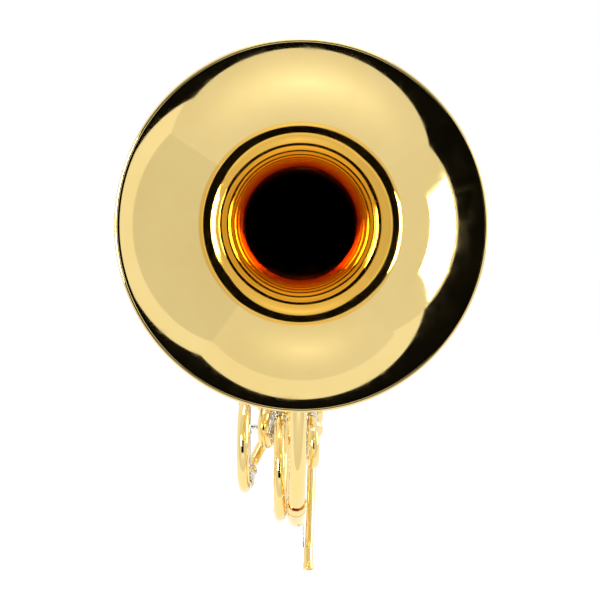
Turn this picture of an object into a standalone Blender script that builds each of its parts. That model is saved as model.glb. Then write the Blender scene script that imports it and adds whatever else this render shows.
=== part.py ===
"""Double french horn: bell and tail, leadpipe, tuning slides, rotary valves and string action.

The frame: origin at the centre of the bell's rim, +Y into the bell, +Z away from the mouthpiece end,
+X to the side of the valve caps. The finger levers lie on the -X side. All sizes are in metres.
"""
import math

import bpy
import bmesh
from mathutils import Matrix, Vector

# General
GAP = 0.0003                    # between pieces that touch
SLIDE_PLAY = 0.00035            # between an inner leg and its sleeve
ROTOR_PLAY = 0.0004             # between a rotor and its casing
PIN_PLAY = 0.0004               # between a hinge tube and its rod
ARC_STEP = math.radians(30)     # turn between two rings of a bent tube
FINE_ARC_STEP = math.radians(18)
ROUND_BAR_SIDES = 12
TINY = 1e-6

# Bell, throat and tail
RIM_RADIUS = 0.155
RIM_BEAD_RADIUS = 0.0019
FLARE_SCALE = 0.060
FLARE_POWER = 1.3
THROAT_RADIUS = 0.010
BELL_DEPTH = 0.330
BELL_WALL = 0.0008
BELL_SIDES = 32
BELL_RINGS = 11
COIL_RADIUS = 0.1615
COIL_SWAY = 0.005               # of the coil's lowest point, towards the levers
TAIL_TURN = math.radians(218)
TAIL_RINGS = 12
TAIL_END_RADIUS = 0.0083
TAIL_TAPER = 1.3

# First branch and its ferrule
FERRULE_WALL = 0.0007
FERRULE_LENGTH = 0.014
SETTLE = 0.001                  # last stretch of a tube, run square to its end
BRANCH_START_RADIUS = 0.0085
BRANCH_LEAVES_COIL = math.radians(285)
BRANCH_TOP_RISE = 0.0995        # of its top above the coil's axis
BRANCH_STRAIGHT = 0.060         # its level stretch under the bell
BRANCH_ENTRY = 0.042            # from the rotors' axes to the bend that turns to the port
BRANCH_BENDS = (0.05, 0.03)
BRANCH_SIDES = 10

# Tubing
TUBE_RADIUS = 0.0061
SLEEVE_WALL = 0.0005
SLEEVE_FLOOR = 0.003             # where a sleeve's bore begins
LEG_START = 0.005                # where an inner leg begins, at rest
CROOK_FERRULE = 0.006            # length of the ferrule between leg and bow
SLEEVE_SOCKET = 0.005            # length of a sleeve's closed end, soldered round its feeding tube
TUBE_SIDES = 8
KNUCKLE_BEND = 0.011

# Leadpipe and receiver
RECEIVER_X = 0.0093
RECEIVER_BEHIND = 0.015         # its end, behind the coil's axis
RECEIVER_DROP = 0.227           # its end, below the coil's axis
RECEIVER_LENGTH = 0.024
RECEIVER_RADIUS = 0.0052
RECEIVER_BORE = 0.0040
RECEIVER_RING_RADIUS = 0.0059
RECEIVER_RING_LENGTH = 0.007
LEADPIPE_RADIUS = 0.0046
LEADPIPE_BACK_X = 0.0165
LEADPIPE_TOP_X = 0.027
LEADPIPE_CLEARANCE = 0.0023     # to the highest valve's cap
LEADPIPE_DROP = 0.0055          # from its loop's top to the main slide
LEADPIPE_LEAD = 0.012           # its straight end before the main slide

# Leaf-shaped guard on the leadpipe
GUARD_LENGTH = 0.034
GUARD_WIDTH = 0.009
GUARD_THICKNESS = 0.0012
GUARD_TIP = 0.12                # its width at the tips, as a share

# Valve stack: rotor axes run along X, one above another
STACK_BEHIND = 0.050            # from the coil's axis to the rotors' axes
CHANGE_VALVE_RISE = 0.0905      # of the change valve above the coil's axis
VALVE_PITCH = 0.047
F_LAYER_X = 0.008
B_LAYER_X = -0.018
LAYER_MARGIN = 0.011
CASING_RADIUS = 0.0180
CASING_WALL = 0.0010
CASING_SIDES = 24
PORT_RADIUS = 0.0052
PORT_SIDES = 6
PORT_DEPTH = 0.014
ROTOR_SIDES = 20
SPINDLE_RADIUS = 0.0035
PLATE_THICKNESS = 0.0025
BOSS_RADIUS = 0.0065
BOSS_LENGTH = 0.0015
CAP_LENGTH = 0.0065
CAP_EXTRA_RADIUS = 0.0012
CAP_RIM_WIDTH = 0.0025
CAP_CHAMFER = 0.001
CAP_DISH = 0.0015

# Stop arm, hub and corks
STOP_ARM_REACH = 0.0135
STOP_ARM_WIDTH = 0.005
STOP_ARM_THICKNESS = 0.003
STOP_ARM_REST = math.radians(135)
CORK_RADIUS = 0.0026
CORK_CIRCLE = 0.0108
CHEEK_THICKNESS = 0.0016
HUB_LENGTH = 0.009
ROTOR_TURN = math.radians(90)

# Levers
LEVER_TURN = math.radians(12)
STRING_ARM = 0.024
STRING_RADIUS = 0.0005
STRING_BAR_LENGTH = 0.030
STRING_BAR_HEIGHT = 0.004
STRING_BAR_THICKNESS = 0.002
STRING_BAR_OFFSET = 0.0075
STRING_POST = 0.003
ROD_RADIUS = 0.0022
HINGE_TUBE_WALL = 0.0011
HINGE_TUBE_BELOW = 0.007
HINGE_TUBE_ABOVE = 0.014
HINGE_SIDES = 10
LEVER_BAR_WIDTH = 0.0055
LEVER_BAR_THICKNESS = 0.002
PADDLE_PITCH = 0.024
PADDLE_LENGTH = 0.036
PADDLE_WIDTH = 0.019
PADDLE_BEHIND = 0.071           # where the paddles begin, behind the rotors' axes
PADDLE_LIFT = 0.0035            # of a paddle's ends, from its curve
PADDLE_STEP = 0.004             # of its middle, from the rod towards the stack
PADDLE_END_SHARE = 0.35         # of a paddle's end, as a share of its width
KEY_ARM_BENDS = (0.014, 0.014, 0.010)
KEY_ARM_STEP = 0.018            # its straight start
KEY_ARM_REACH = 0.048           # to the bend in line with its paddle
KEY_ARM_STOP = 0.012            # from its last bend to the paddle
KEY_ARM_LAP = 0.006             # under the paddle
THUMB_ROD_RADIUS = 0.002
THUMB_ROD_BENDS = (0.008, 0.010, 0.008)
THUMB_ROD_BEHIND = 0.048        # from the rotors' axes
THUMB_ROD_INSET = 0.017         # from the hinge rod towards the stack
THUMB_ROD_LAP = 0.022           # its foot, under the touch
THUMB_TOUCH_DROP = 0.014        # below the lowest rotor's axis
THUMB_TOUCH_START = 0.016
THUMB_TOUCH_LENGTH = 0.030
THUMB_TOUCH_WIDTH = 0.016
THUMB_TOUCH_STEP = 0.002
THUMB_TOUCH_CURL = 0.003

# Torsion springs
SPRING_WIRE = 0.0006
SPRING_RADIUS = 0.0049
SPRING_TURNS = 3
SPRING_PITCH = 0.0022
SPRING_POINTS = 6
SPRING_TAIL = 0.006

# Posts, braces and hook
POST_THICKNESS = 0.003
POST_WIDTH = 0.009
POST_BELOW = 0.006              # the lowest post, below its casing
POST_ABOVE = 0.0055             # another post, above its casing
POST_TIP = 0.005                # past the rod's axis
POST_FOOT = 0.008               # along the casing
POST_INSET = 0.001              # of the foot inside the bar's outline
POST_SUNK = 0.002               # of the foot into the casing's wall
ROD_HEAD = 0.0012               # the head's length and its extra radius
BRACE_RADIUS = 0.0016
BRACE_AT = 0.009                # from the start of the sleeves
FAR_BRACE_AT = 0.021            # where another tube passes between the sleeves
HOOK_RADIUS = 0.013
HOOK_WIDTH = 0.009
HOOK_THICKNESS = 0.0024
HOOK_TURN = math.radians(225)
HOOK_RISE = 0.0535              # above the coil's axis
HOOK_FOOT = (0.003, 0.018, 0.012)

# Tuning slides: the middle of each pair of legs as (x, behind the coil's axis, below it)
MAIN_SLIDE_AHEAD = 0.008
MAIN_RETURN_LEAD = 0.008
MAIN_RETURN_BEND = 0.010
F_TUNING_PLACE = (-0.0554, 0.015, 0.073)
F_TUNING_YAW = -1.5
F_TUNING_SPACING = 0.0895
B_FLAT_TUNING_PLACE = (-0.021, 0.005, 0.0997)
B_FLAT_TUNING_SPACING = 0.097

# Valve slides
SLIDE_AHEAD = 0.032             # where their sleeves begin, before the rotors' axes
F_SLIDE_YAW = 3
B_FLAT_SLIDE_X = -0.025
B_FLAT_SLIDE_YAW = -5
FIRST_SLIDE_DROP = 0.003        # of the lowest rotor's slides, below its axis
FIRST_B_FLAT_X = -0.0285
FIRST_B_FLAT_YAW = -10

# Tubes round the stack: x, distance behind the coil's axis or the rotors' axes, and bends
F_RISER_X = -0.053
F_RISER_BEHIND = 0.0075
F_RISER_SWING = 0.012           # how far behind the riser the tube comes up from its slide
F_RISER_CLIMB = 0.030
F_RISER_DROP = 0.004            # of its top bend, below the port
F_RISER_OVER = 0.018
F_RISER_BENDS = (0.010, 0.012, 0.014, 0.012, 0.011)
B_FLAT_RISER_X = -0.0095
B_FLAT_RISER_BEHIND = 0.003
B_FLAT_RISER_BENDS = (0.008, 0.012, 0.010)
B_FLAT_OUTLET_LOW = (-0.020, 0.009, 0.058)
B_FLAT_OUTLET_TURN = (-0.021, -0.012)
B_FLAT_OUTLET_BENDS = (0.010, 0.014, 0.014)
F_OUTLET_BULGE = (0.024, 0.022, 0.032)
F_OUTLET_CROSSING = (0.010, 0.028, 0.0425)
F_OUTLET_FAR_SIDE = (-0.042, 0.028, 0.046)
F_OUTLET_TURN_Y = -0.005
F_OUTLET_BENDS = (0.009, 0.008, 0.009, 0.014, 0.014)

# Places that follow from the sizes above
COIL_CENTRE = Vector((0.0, BELL_DEPTH, -COIL_RADIUS))
BRANCH_TOP_Z = COIL_CENTRE.z + BRANCH_TOP_RISE
STACK_Y = COIL_CENTRE.y + STACK_BEHIND
CHANGE_VALVE_Z = COIL_CENTRE.z + CHANGE_VALVE_RISE
CAP_REACH = math.hypot(STACK_BEHIND, CHANGE_VALVE_RISE) + CASING_RADIUS + CAP_EXTRA_RADIUS
LEADPIPE_LOOP_RADIUS = CAP_REACH + LEADPIPE_CLEARANCE + TUBE_RADIUS
NEXT_VALVE = {"1": "2", "2": "3", "3": "change"}
VALVE_Z = {
    "change": CHANGE_VALVE_Z,
    "3": CHANGE_VALVE_Z - VALVE_PITCH,
    "2": CHANGE_VALVE_Z - 2 * VALVE_PITCH,
    "1": CHANGE_VALVE_Z - 3 * VALVE_PITCH,
}
STACK_LEFT = B_LAYER_X - LAYER_MARGIN
STACK_RIGHT = F_LAYER_X + LAYER_MARGIN
CASING_BORE = CASING_RADIUS - CASING_WALL
ROTOR_RADIUS = CASING_BORE * math.cos(math.pi / CASING_SIDES) - ROTOR_PLAY
PLATE_LEFT = STACK_LEFT - GAP - PLATE_THICKNESS
BOSS_LEFT = PLATE_LEFT - BOSS_LENGTH
ARM_RIGHT = BOSS_LEFT - GAP
ARM_LEFT = ARM_RIGHT - STOP_ARM_THICKNESS
HUB_LEFT = ARM_LEFT - HUB_LENGTH
STRING_X = (ARM_LEFT + HUB_LEFT) / 2
ROD_X = STRING_X - STRING_ARM
HUB_RADIUS = STRING_ARM * LEVER_TURN / ROTOR_TURN
KNUCKLE_RADIAL = PORT_DEPTH + KNUCKLE_BEND * math.tan(math.radians(22.5)) + 0.003
PORT_OFFSET = KNUCKLE_RADIAL / math.sqrt(2)
SLEEVE_BORE = TUBE_RADIUS + SLIDE_PLAY
SLEEVE_RADIUS = SLEEVE_BORE + SLEEVE_WALL
HINGE_TUBE_RADIUS = ROD_RADIUS + PIN_PLAY + HINGE_TUBE_WALL
FERRULE_RADIUS = SLEEVE_RADIUS

# Colour, roughness and metallic value of each finish
FINISHES = {
    "lacquered_brass": ((0.90, 0.66, 0.27), 0.16, 1.0),
    "nickel_silver": ((0.78, 0.75, 0.68), 0.20, 1.0),
    "steel": ((0.60, 0.60, 0.62), 0.30, 1.0),
    "cork": ((0.62, 0.42, 0.24), 0.90, 0.0),
    "cord": ((0.06, 0.06, 0.06), 0.85, 0.0),
}


def finish(name):
    """Return the named material, made once."""
    material = bpy.data.materials.get(name)
    if material is None:
        colour, roughness, metallic = FINISHES[name]
        material = bpy.data.materials.new(name)
        material.use_nodes = True
        shader = material.node_tree.nodes["Principled BSDF"]
        shader.inputs["Base Color"].default_value = (*colour, 1.0)
        shader.inputs["Roughness"].default_value = roughness
        shader.inputs["Metallic"].default_value = metallic
    return material


def place(name, meshes, material, origin=(0.0, 0.0, 0.0)):
    """Put the meshes, which are in world coordinates, into one named object whose origin is given."""
    body = bmesh.new()
    for mesh in meshes:
        body.from_mesh(mesh)
        bpy.data.meshes.remove(mesh)
    bmesh.ops.translate(body, verts=body.verts, vec=-Vector(origin))
    result = bpy.data.meshes.new(name)
    body.to_mesh(result)
    body.free()
    result.materials.append(finish(material))
    result.shade_smooth()
    result.set_sharp_from_angle(angle=math.radians(40))
    thing = bpy.data.objects.new(name, result)
    thing.location = origin
    bpy.context.scene.collection.objects.link(thing)
    return thing


def combined(base, tool, operation="DIFFERENCE"):
    """Return the base mesh cut by, or united with, the tool mesh."""
    scene = bpy.context.scene.collection.objects
    body = bpy.data.objects.new("work_body", base)
    cutter = bpy.data.objects.new("work_tool", tool)
    scene.link(body)
    scene.link(cutter)
    modifier = body.modifiers.new("combine", "BOOLEAN")
    modifier.solver = "EXACT"
    modifier.operation = operation
    modifier.object = cutter
    graph = bpy.context.evaluated_depsgraph_get()
    result = bpy.data.meshes.new_from_object(body.evaluated_get(graph))
    for thing in (body, cutter):
        mesh = thing.data
        bpy.data.objects.remove(thing)
        bpy.data.meshes.remove(mesh)
    return result


def united(meshes):
    """Return the meshes joined into one body."""
    result = meshes[0]
    for mesh in meshes[1:]:
        result = combined(result, mesh, "UNION")
    return result


# Paths and swept shapes

def headings(path):
    """Return the direction of travel at each point; points may repeat where a radius steps."""
    result = []
    for index, point in enumerate(path):
        before = [other for other in path[:index] if (other - point).length > TINY]
        after = [other for other in path[index + 1:] if (other - point).length > TINY]
        direction = Vector()
        if before:
            direction += (point - before[-1]).normalized()
        if after:
            direction += (after[0] - point).normalized()
        result.append(direction.normalized())
    return result


def rings_along(path, sections, up):
    """Return one ring of points per path point; a section is a list of (across, up) offsets."""
    rings = []
    upward = Vector(up)
    for point, heading, section in zip(path, headings(path), sections):
        upward = (upward - upward.dot(heading) * heading).normalized()
        across = heading.cross(upward)
        rings.append([point + a * across + b * upward for a, b in section])
    return rings


def circle(radius, sides, lead=0.5):
    """Return the points of a round section; the first one leads by that share of a side."""
    turns = [2 * math.pi * (step + lead) / sides for step in range(sides)]
    return [(radius * math.cos(turn), radius * math.sin(turn)) for turn in turns]


def rectangle(width, height):
    """Return the corners of a flat section."""
    a = width / 2
    b = height / 2
    return [(a, b), (-a, b), (-a, -b), (a, -b)]


def bridge(body, first, second):
    """Join two rings of vertices with faces; the second may have half as many points."""
    count = len(second)
    for index in range(count):
        after = (index + 1) % count
        if len(first) == count:
            body.faces.new((first[index], first[after], second[after], second[index]))
        else:
            middle = first[2 * index + 1]
            last = first[(2 * index + 2) % len(first)]
            body.faces.new((first[2 * index], middle, second[index]))
            body.faces.new((middle, last, second[after], second[index]))


def skin(outer, inner=None):
    """Return a closed mesh through the outer rings, hollow along the inner rings where given."""
    body = bmesh.new()
    shells = []
    for rings in (outer, inner):
        if rings is None:
            continue
        made = [[body.verts.new(point) for point in ring] for ring in rings]
        for first, second in zip(made, made[1:]):
            bridge(body, first, second)
        shells.append(made)
    if inner is None:
        body.faces.new(shells[0][0])
        body.faces.new(shells[0][-1])
    else:
        bridge(body, shells[0][0], shells[1][0])
        bridge(body, shells[0][-1], shells[1][-1])
    bmesh.ops.recalc_face_normals(body, faces=body.faces)
    mesh = bpy.data.meshes.new("shape")
    body.to_mesh(mesh)
    body.free()
    return mesh


def values_along(value, count):
    """Return a list of values from one number or from a list."""
    return list(value) if hasattr(value, "__iter__") else [value] * count


def tube(path, radius, bore=None, sides=TUBE_SIDES, up=(1.0, 0.0, 0.0)):
    """Sweep a round section along the path, hollow where a bore is given."""
    outer = [circle(r, sides) for r in values_along(radius, len(path))]
    inner = None
    if bore is not None:
        inner = [circle(r, sides) for r in values_along(bore, len(path))]
        inner = rings_along(path, inner, up)
    return skin(rings_along(path, outer, up), inner)


def bar(path, width, thickness, up):
    """Sweep a flat section along the path; the width lies across the up direction."""
    widths = values_along(width, len(path))
    return skin(rings_along(path, [rectangle(w, thickness) for w in widths], up))


def block(low, high):
    """Return a box between two corners."""
    low = Vector(low)
    high = Vector(high)
    middle = (low + high) / 2
    size = high - low
    ends = [Vector((middle.x, middle.y, low.z)), Vector((middle.x, middle.y, high.z))]
    return skin(rings_along(ends, [rectangle(size.y, size.x)] * 2, (1.0, 0.0, 0.0)))


def turned(start, end, radii_at, bore=None, sides=ROUND_BAR_SIDES, up=(0.0, 0.0, 1.0)):
    """Turn a stepped profile between two points; radii_at holds (distance, radius) pairs."""
    start = Vector(start)
    heading = (Vector(end) - start).normalized()
    path = [start + distance * heading for distance, _ in radii_at]
    return tube(path, [radius for _, radius in radii_at], bore, sides, up)


def rod(start, end, radius, bore=None, sides=ROUND_BAR_SIDES, up=(0.0, 0.0, 1.0)):
    """Return a straight round bar or pipe."""
    return tube([Vector(start), Vector(end)], radius, bore, sides, up)


def bend(corners, radii, step=ARC_STEP):
    """Return a path through the corners, with a round bend of the given radius at each."""
    corners = [Vector(corner) for corner in corners]
    radii = values_along(radii, len(corners) - 2)
    path = [corners[0]]
    for before, corner, after, radius in zip(corners, corners[1:], corners[2:], radii):
        inward = (before - corner).normalized()
        outward = (after - corner).normalized()
        turn = math.pi - inward.angle(outward)
        if turn < math.radians(1):
            path.append(corner)
            continue
        reach = radius * math.tan(turn / 2)
        axis = inward.cross(outward).normalized()
        centre = corner + (inward + outward).normalized() * (radius / math.cos(turn / 2))
        start = corner + inward * reach
        count = max(2, math.ceil(turn / step))
        for index in range(count + 1):
            swing = Matrix.Rotation(-turn * index / count, 3, axis)
            path.append(centre + swing @ (start - centre))
    path.append(corners[-1])
    cleaned = [path[0]]
    for point in path[1:]:
        if (point - cleaned[-1]).length > 10 * TINY:
            cleaned.append(point)
    return cleaned


# Bell, coil and first branch

def coil_point(turn, radius=COIL_RADIUS):
    """Return a point of the coil's centreline; the turn runs from the top over the back."""
    sway = -COIL_SWAY * math.sin(turn / 2) ** 4
    return COIL_CENTRE + Vector((sway, radius * math.sin(turn), radius * math.cos(turn)))


def flare_radius(depth):
    """Return the inner radius of the bell at a depth behind its rim."""
    edge = RIM_RADIUS - 1.5 * RIM_BEAD_RADIUS
    return THROAT_RADIUS + (edge - THROAT_RADIUS) * (1 + depth / FLARE_SCALE) ** -FLARE_POWER


def tail_radius(share):
    """Return the tail's outer radius at a share of its length."""
    start = flare_radius(BELL_DEPTH) + BELL_WALL
    return TAIL_END_RADIUS + (start - TAIL_END_RADIUS) * (1 - share) ** TAIL_TAPER


def bell_profile():
    """Return the (depth, radius) points of the flare's front face and of its back face."""
    bead_turns = [math.radians(angle) for angle in (-100, -50, 0, 60, 120)]
    bead = [
        (RIM_BEAD_RADIUS * (1 + math.sin(turn)),
         RIM_RADIUS - RIM_BEAD_RADIUS + RIM_BEAD_RADIUS * math.cos(turn))
        for turn in bead_turns
    ]
    front = [bead[0]]
    outer = []
    for index in range(1, BELL_RINGS + 1):
        depth = BELL_DEPTH * (index / BELL_RINGS) ** 2.2
        radius = flare_radius(depth)
        slope = (flare_radius(depth + TINY) - radius) / TINY
        lean = math.hypot(1, slope)
        front.append((depth, radius))
        outer.append((depth - slope / lean * BELL_WALL, radius + BELL_WALL / lean))
    outer[-1] = (BELL_DEPTH, tail_radius(0))
    return front, bead[1:] + outer


def seam_turns(side):
    """Return the turns at the seam that a tube needs to lie true inside the ferrule."""
    reaches = (0.0, SETTLE, FERRULE_LENGTH / 2 + SETTLE)
    return [TAIL_TURN + side * (GAP / 2 + reach) / COIL_RADIUS for reach in reaches]


def bell():
    """Return the bell with its rolled rim, throat and tapering tail as one hollow shell.

    The tail's rings have half as many points as the flare's, each between two of the flare's.
    """
    front, back = bell_profile()
    up = Vector((1.0, 0.0, 0.0))
    across = Vector((0.0, 1.0, 0.0)).cross(up)
    turns = [TAIL_TURN * index / TAIL_RINGS for index in range(1, TAIL_RINGS)]
    turns += reversed(seam_turns(-1))
    tail = [coil_point(turn) for turn in turns]
    shells = []
    for profile, inset in ((back, 0.0), (front, BELL_WALL)):
        rings = []
        for depth, radius in profile:
            centre = Vector((0.0, depth, 0.0))
            rings.append([centre + a * across + b * up for a, b in circle(radius, BELL_SIDES, 0.0)])
        throat = [Vector((0.0, BELL_DEPTH, 0.0))] + tail
        shares = [0.0] + [turn / TAIL_TURN for turn in turns]
        sections = [circle(tail_radius(share) - inset, BELL_SIDES // 2, 0.25) for share in shares]
        rings += rings_along(throat, sections, up)[1:]
        shells.append(rings)
    return skin(*shells)


def first_branch():
    """Return the tube from the tail's ferrule up the front and under the bell to the change valve."""
    turns = seam_turns(1)
    start = turns[-1]
    count = 4
    turns += [start + (BRANCH_LEAVES_COIL - start) * index / count for index in range(1, count)]
    arc = [coil_point(turn) for turn in turns]
    leave = coil_point(BRANCH_LEAVES_COIL)
    heading = Vector((0.0, math.cos(BRANCH_LEAVES_COIL), -math.sin(BRANCH_LEAVES_COIL)))
    reach = (BRANCH_TOP_Z - leave.z) / heading.z
    turn = math.asin(heading.z)
    corner = leave + heading * reach
    inner, outer = knuckle_corners("change", F_LAYER_X, front=True, upper=True)
    meet = Vector((F_LAYER_X, STACK_Y - BRANCH_ENTRY, outer.z))
    over = Vector((leave.x, meet.y - BRANCH_STRAIGHT, BRANCH_TOP_Z))
    radii = [reach / math.tan(turn / 2), *BRANCH_BENDS, KNUCKLE_BEND]
    path = arc + bend([leave, corner, over, meet, outer, inner], radii, FINE_ARC_STEP)
    path = [path[0]] + [p for q, p in zip(path, path[1:]) if (p - q).length > 10 * TINY]
    lengths = [0.0]
    for before, after in zip(path, path[1:]):
        lengths.append(lengths[-1] + (after - before).length)
    span = lengths[-1]
    radii = [BRANCH_START_RADIUS + (TUBE_RADIUS - BRANCH_START_RADIUS) * s / span for s in lengths]
    return trimmed(tube(path, radii, None, BRANCH_SIDES), "change")


def tail_ferrule():
    """Return the sleeve over the seam between tail and first branch."""
    half = FERRULE_LENGTH / 2 / COIL_RADIUS
    turns = [TAIL_TURN + half * share for share in (-1, 0, 1)]
    path = [coil_point(turn) for turn in turns]
    bore = max(BRANCH_START_RADIUS, TAIL_END_RADIUS) + 2 * GAP
    return tube(path, bore + FERRULE_WALL, bore, 16)


# Valves

def valve_centre(valve, x=0.0):
    """Return the point on a rotor's axis at the given X."""
    return Vector((x, STACK_Y, VALVE_Z[valve]))


def port_direction(front, upper):
    """Return the radial direction of a port."""
    return Vector((0.0, -1.0 if front else 1.0, 1.0 if upper else -1.0)).normalized()


def knuckle_corners(valve, x, front, upper):
    """Return a port's inner end and the corner where its knuckle turns along the slides."""
    centre = valve_centre(valve, x)
    way = port_direction(front, upper)
    return centre + way * PORT_DEPTH, centre + way * KNUCKLE_RADIAL


def trimmed(mesh, *valves):
    """Cut a tube's end to the round wall of the casings that it meets."""
    for valve in valves:
        left = valve_centre(valve, STACK_LEFT - 0.01)
        right = valve_centre(valve, STACK_RIGHT + 0.01)
        mesh = combined(mesh, rod(left, right, CASING_RADIUS + GAP, sides=CASING_SIDES))
    return mesh


def valve_ports(valve):
    """Return the layers and directions of a casing's ports as (x, front, upper)."""
    ports = []
    for x in (F_LAYER_X, B_LAYER_X):
        ports += [(x, True, True), (x, True, False), (x, False, False)]
        if valve != "change":
            ports.append((x, False, True))
    return ports


def round_bar(valve, left, right, radius):
    """Return a round bar about a rotor's axis between two X values."""
    return rod(valve_centre(valve, left), valve_centre(valve, right), radius, sides=CASING_SIDES)


def casing(valve):
    """Return a casing with a port for each tube, its two links to the casing above and its posts."""
    parts = [round_bar(valve, STACK_LEFT, STACK_RIGHT, CASING_RADIUS)]
    above = NEXT_VALVE.get(valve)
    if above:
        parts += [valve_link(valve, above, x) for x in (F_LAYER_X, B_LAYER_X)]
    parts += [lever_post(valve, level) for level in post_levels(valve)]
    mesh = united(parts)
    mesh = combined(mesh, round_bar(valve, STACK_LEFT - 0.001, STACK_RIGHT + 0.001, CASING_BORE))
    if above:
        clear = CASING_RADIUS + GAP
        mesh = combined(mesh, round_bar(above, STACK_LEFT - 0.001, STACK_RIGHT + 0.001, clear))
    for x, front, upper in valve_ports(valve):
        centre = valve_centre(valve, x)
        way = port_direction(front, upper)
        start = centre + way * (CASING_BORE - 3 * CASING_WALL)
        end = centre + way * (CASING_RADIUS + CASING_WALL)
        mesh = combined(mesh, rod(start, end, PORT_RADIUS, sides=PORT_SIDES, up=(1.0, 0.0, 0.0)))
    return mesh


def rotor(valve):
    """Return a rotor with its spindle; two passages per layer each join two neighbouring ports."""
    centre = valve_centre(valve)
    tip = valve_centre(valve, ARM_RIGHT + GAP)
    spindle = STACK_LEFT + GAP - tip.x
    whole = STACK_RIGHT - GAP - tip.x
    profile = [
        (0.0, SPINDLE_RADIUS),
        (spindle, SPINDLE_RADIUS),
        (spindle, ROTOR_RADIUS),
        (whole, ROTOR_RADIUS),
    ]
    mesh = turned(tip, centre, profile, sides=ROTOR_SIDES)
    passage_shift = CASING_RADIUS / math.sqrt(2)
    for x in (F_LAYER_X, B_LAYER_X):
        for side in (-1, 1):
            middle = Vector((x, centre.y + side * passage_shift, centre.z))
            reach = Vector((0.0, 0.0, ROTOR_RADIUS))
            cutter = rod(middle - reach, middle + reach, PORT_RADIUS, sides=PORT_SIDES, up=(1.0, 0.0, 0.0))
            mesh = combined(mesh, cutter)
    return mesh


def cap(valve):
    """Return a screw-on cap: a dished disc with a raised rim."""
    start = valve_centre(valve, STACK_RIGHT + GAP)
    outer = CASING_RADIUS + CAP_EXTRA_RADIUS
    end = valve_centre(valve, start.x + CAP_LENGTH)
    profile = [(0.0, outer), (CAP_LENGTH - CAP_CHAMFER, outer), (CAP_LENGTH, outer - CAP_CHAMFER)]
    mesh = turned(start, end, profile, sides=CASING_SIDES)
    dish_start = valve_centre(valve, end.x - CAP_DISH)
    dish_end = valve_centre(valve, end.x + CAP_DISH)
    return combined(mesh, rod(dish_start, dish_end, outer - CAP_RIM_WIDTH, sides=CASING_SIDES))


def cork_places():
    """Return the two corks' directions, each where the stop arm's side just meets it."""
    swing = math.asin((STOP_ARM_WIDTH / 2 + CORK_RADIUS + GAP) / CORK_CIRCLE)
    return STOP_ARM_REST - swing, STOP_ARM_REST + ROTOR_TURN + swing


def around(valve, x, turn, radius):
    """Return a point round a rotor's axis; the turn runs from +Y towards +Z."""
    return valve_centre(valve, x) + Vector((0.0, radius * math.cos(turn), radius * math.sin(turn)))


def bearing_plate(valve):
    """Return the plate over a casing's lever end, with its bush and a cup behind each cork."""
    left = valve_centre(valve, PLATE_LEFT)
    right = valve_centre(valve, STACK_LEFT - GAP)
    parts = [rod(left, right, CASING_RADIUS, sides=CASING_SIDES)]
    boss_left = valve_centre(valve, BOSS_LEFT)
    boss_right = valve_centre(valve, PLATE_LEFT + PLATE_THICKNESS / 2)
    parts.append(rod(boss_left, boss_right, BOSS_RADIUS))
    for turn in cork_places():
        middle = CORK_CIRCLE + CORK_RADIUS + GAP + CHEEK_THICKNESS / 2
        along = Vector((0.0, -math.sin(turn), math.cos(turn))) * (CORK_RADIUS + CHEEK_THICKNESS)
        foot = around(valve, PLATE_LEFT + PLATE_THICKNESS / 2, turn, middle)
        top = around(valve, ARM_LEFT + STOP_ARM_THICKNESS / 2, turn, middle)
        parts.append(bar([foot, top], 2 * along.length, CHEEK_THICKNESS, foot - valve_centre(valve, foot.x)))
    mesh = united(parts + corks(valve))
    bush = SPINDLE_RADIUS + PIN_PLAY
    hole_left = valve_centre(valve, BOSS_LEFT - 0.001)
    hole_right = valve_centre(valve, STACK_LEFT + 0.001)
    return combined(mesh, rod(hole_left, hole_right, bush))


def corks(valve):
    """Return the two corks that stop the arm."""
    meshes = []
    for turn in cork_places():
        low = around(valve, PLATE_LEFT + PLATE_THICKNESS / 2, turn, CORK_CIRCLE)
        high = around(valve, ARM_LEFT, turn, CORK_CIRCLE)
        meshes.append(rod(low, high, CORK_RADIUS, sides=6))
    return meshes


def stop_arm(valve):
    """Return a stop arm with the hub that its string goes round."""
    hub_right = valve_centre(valve, ARM_RIGHT)
    hub_left = valve_centre(valve, HUB_LEFT)
    disc_left = valve_centre(valve, ARM_LEFT)
    parts = [rod(hub_left, hub_right, HUB_RADIUS), rod(disc_left, hub_right, BOSS_RADIUS)]
    middle_x = (ARM_LEFT + ARM_RIGHT) / 2
    tip = around(valve, middle_x, STOP_ARM_REST, STOP_ARM_REACH)
    parts.append(bar([valve_centre(valve, middle_x), tip], STOP_ARM_WIDTH,
                     STOP_ARM_THICKNESS, (1.0, 0.0, 0.0)))
    return united(parts)


def port_knuckle(valve, x, upper, leg):
    """Return the elbow from a front port to the start of a slide's leg."""
    inner, outer = knuckle_corners(valve, x, True, upper)
    point, heading = leg
    back = point - heading * SLEEVE_SOCKET
    return tube(bend([inner, outer, back, point - heading * SETTLE], KNUCKLE_BEND), TUBE_RADIUS)


def valve_link(lower, upper, x):
    """Return the short bow at the back that joins two neighbouring casings."""
    first, _ = knuckle_corners(lower, x, False, True)
    last, _ = knuckle_corners(upper, x, False, False)
    corner = Vector((x, STACK_Y + VALVE_PITCH / 2, (first.z + last.z) / 2))
    return tube(bend([first, corner, last], VALVE_PITCH / 3), TUBE_RADIUS)


# Slides

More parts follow.
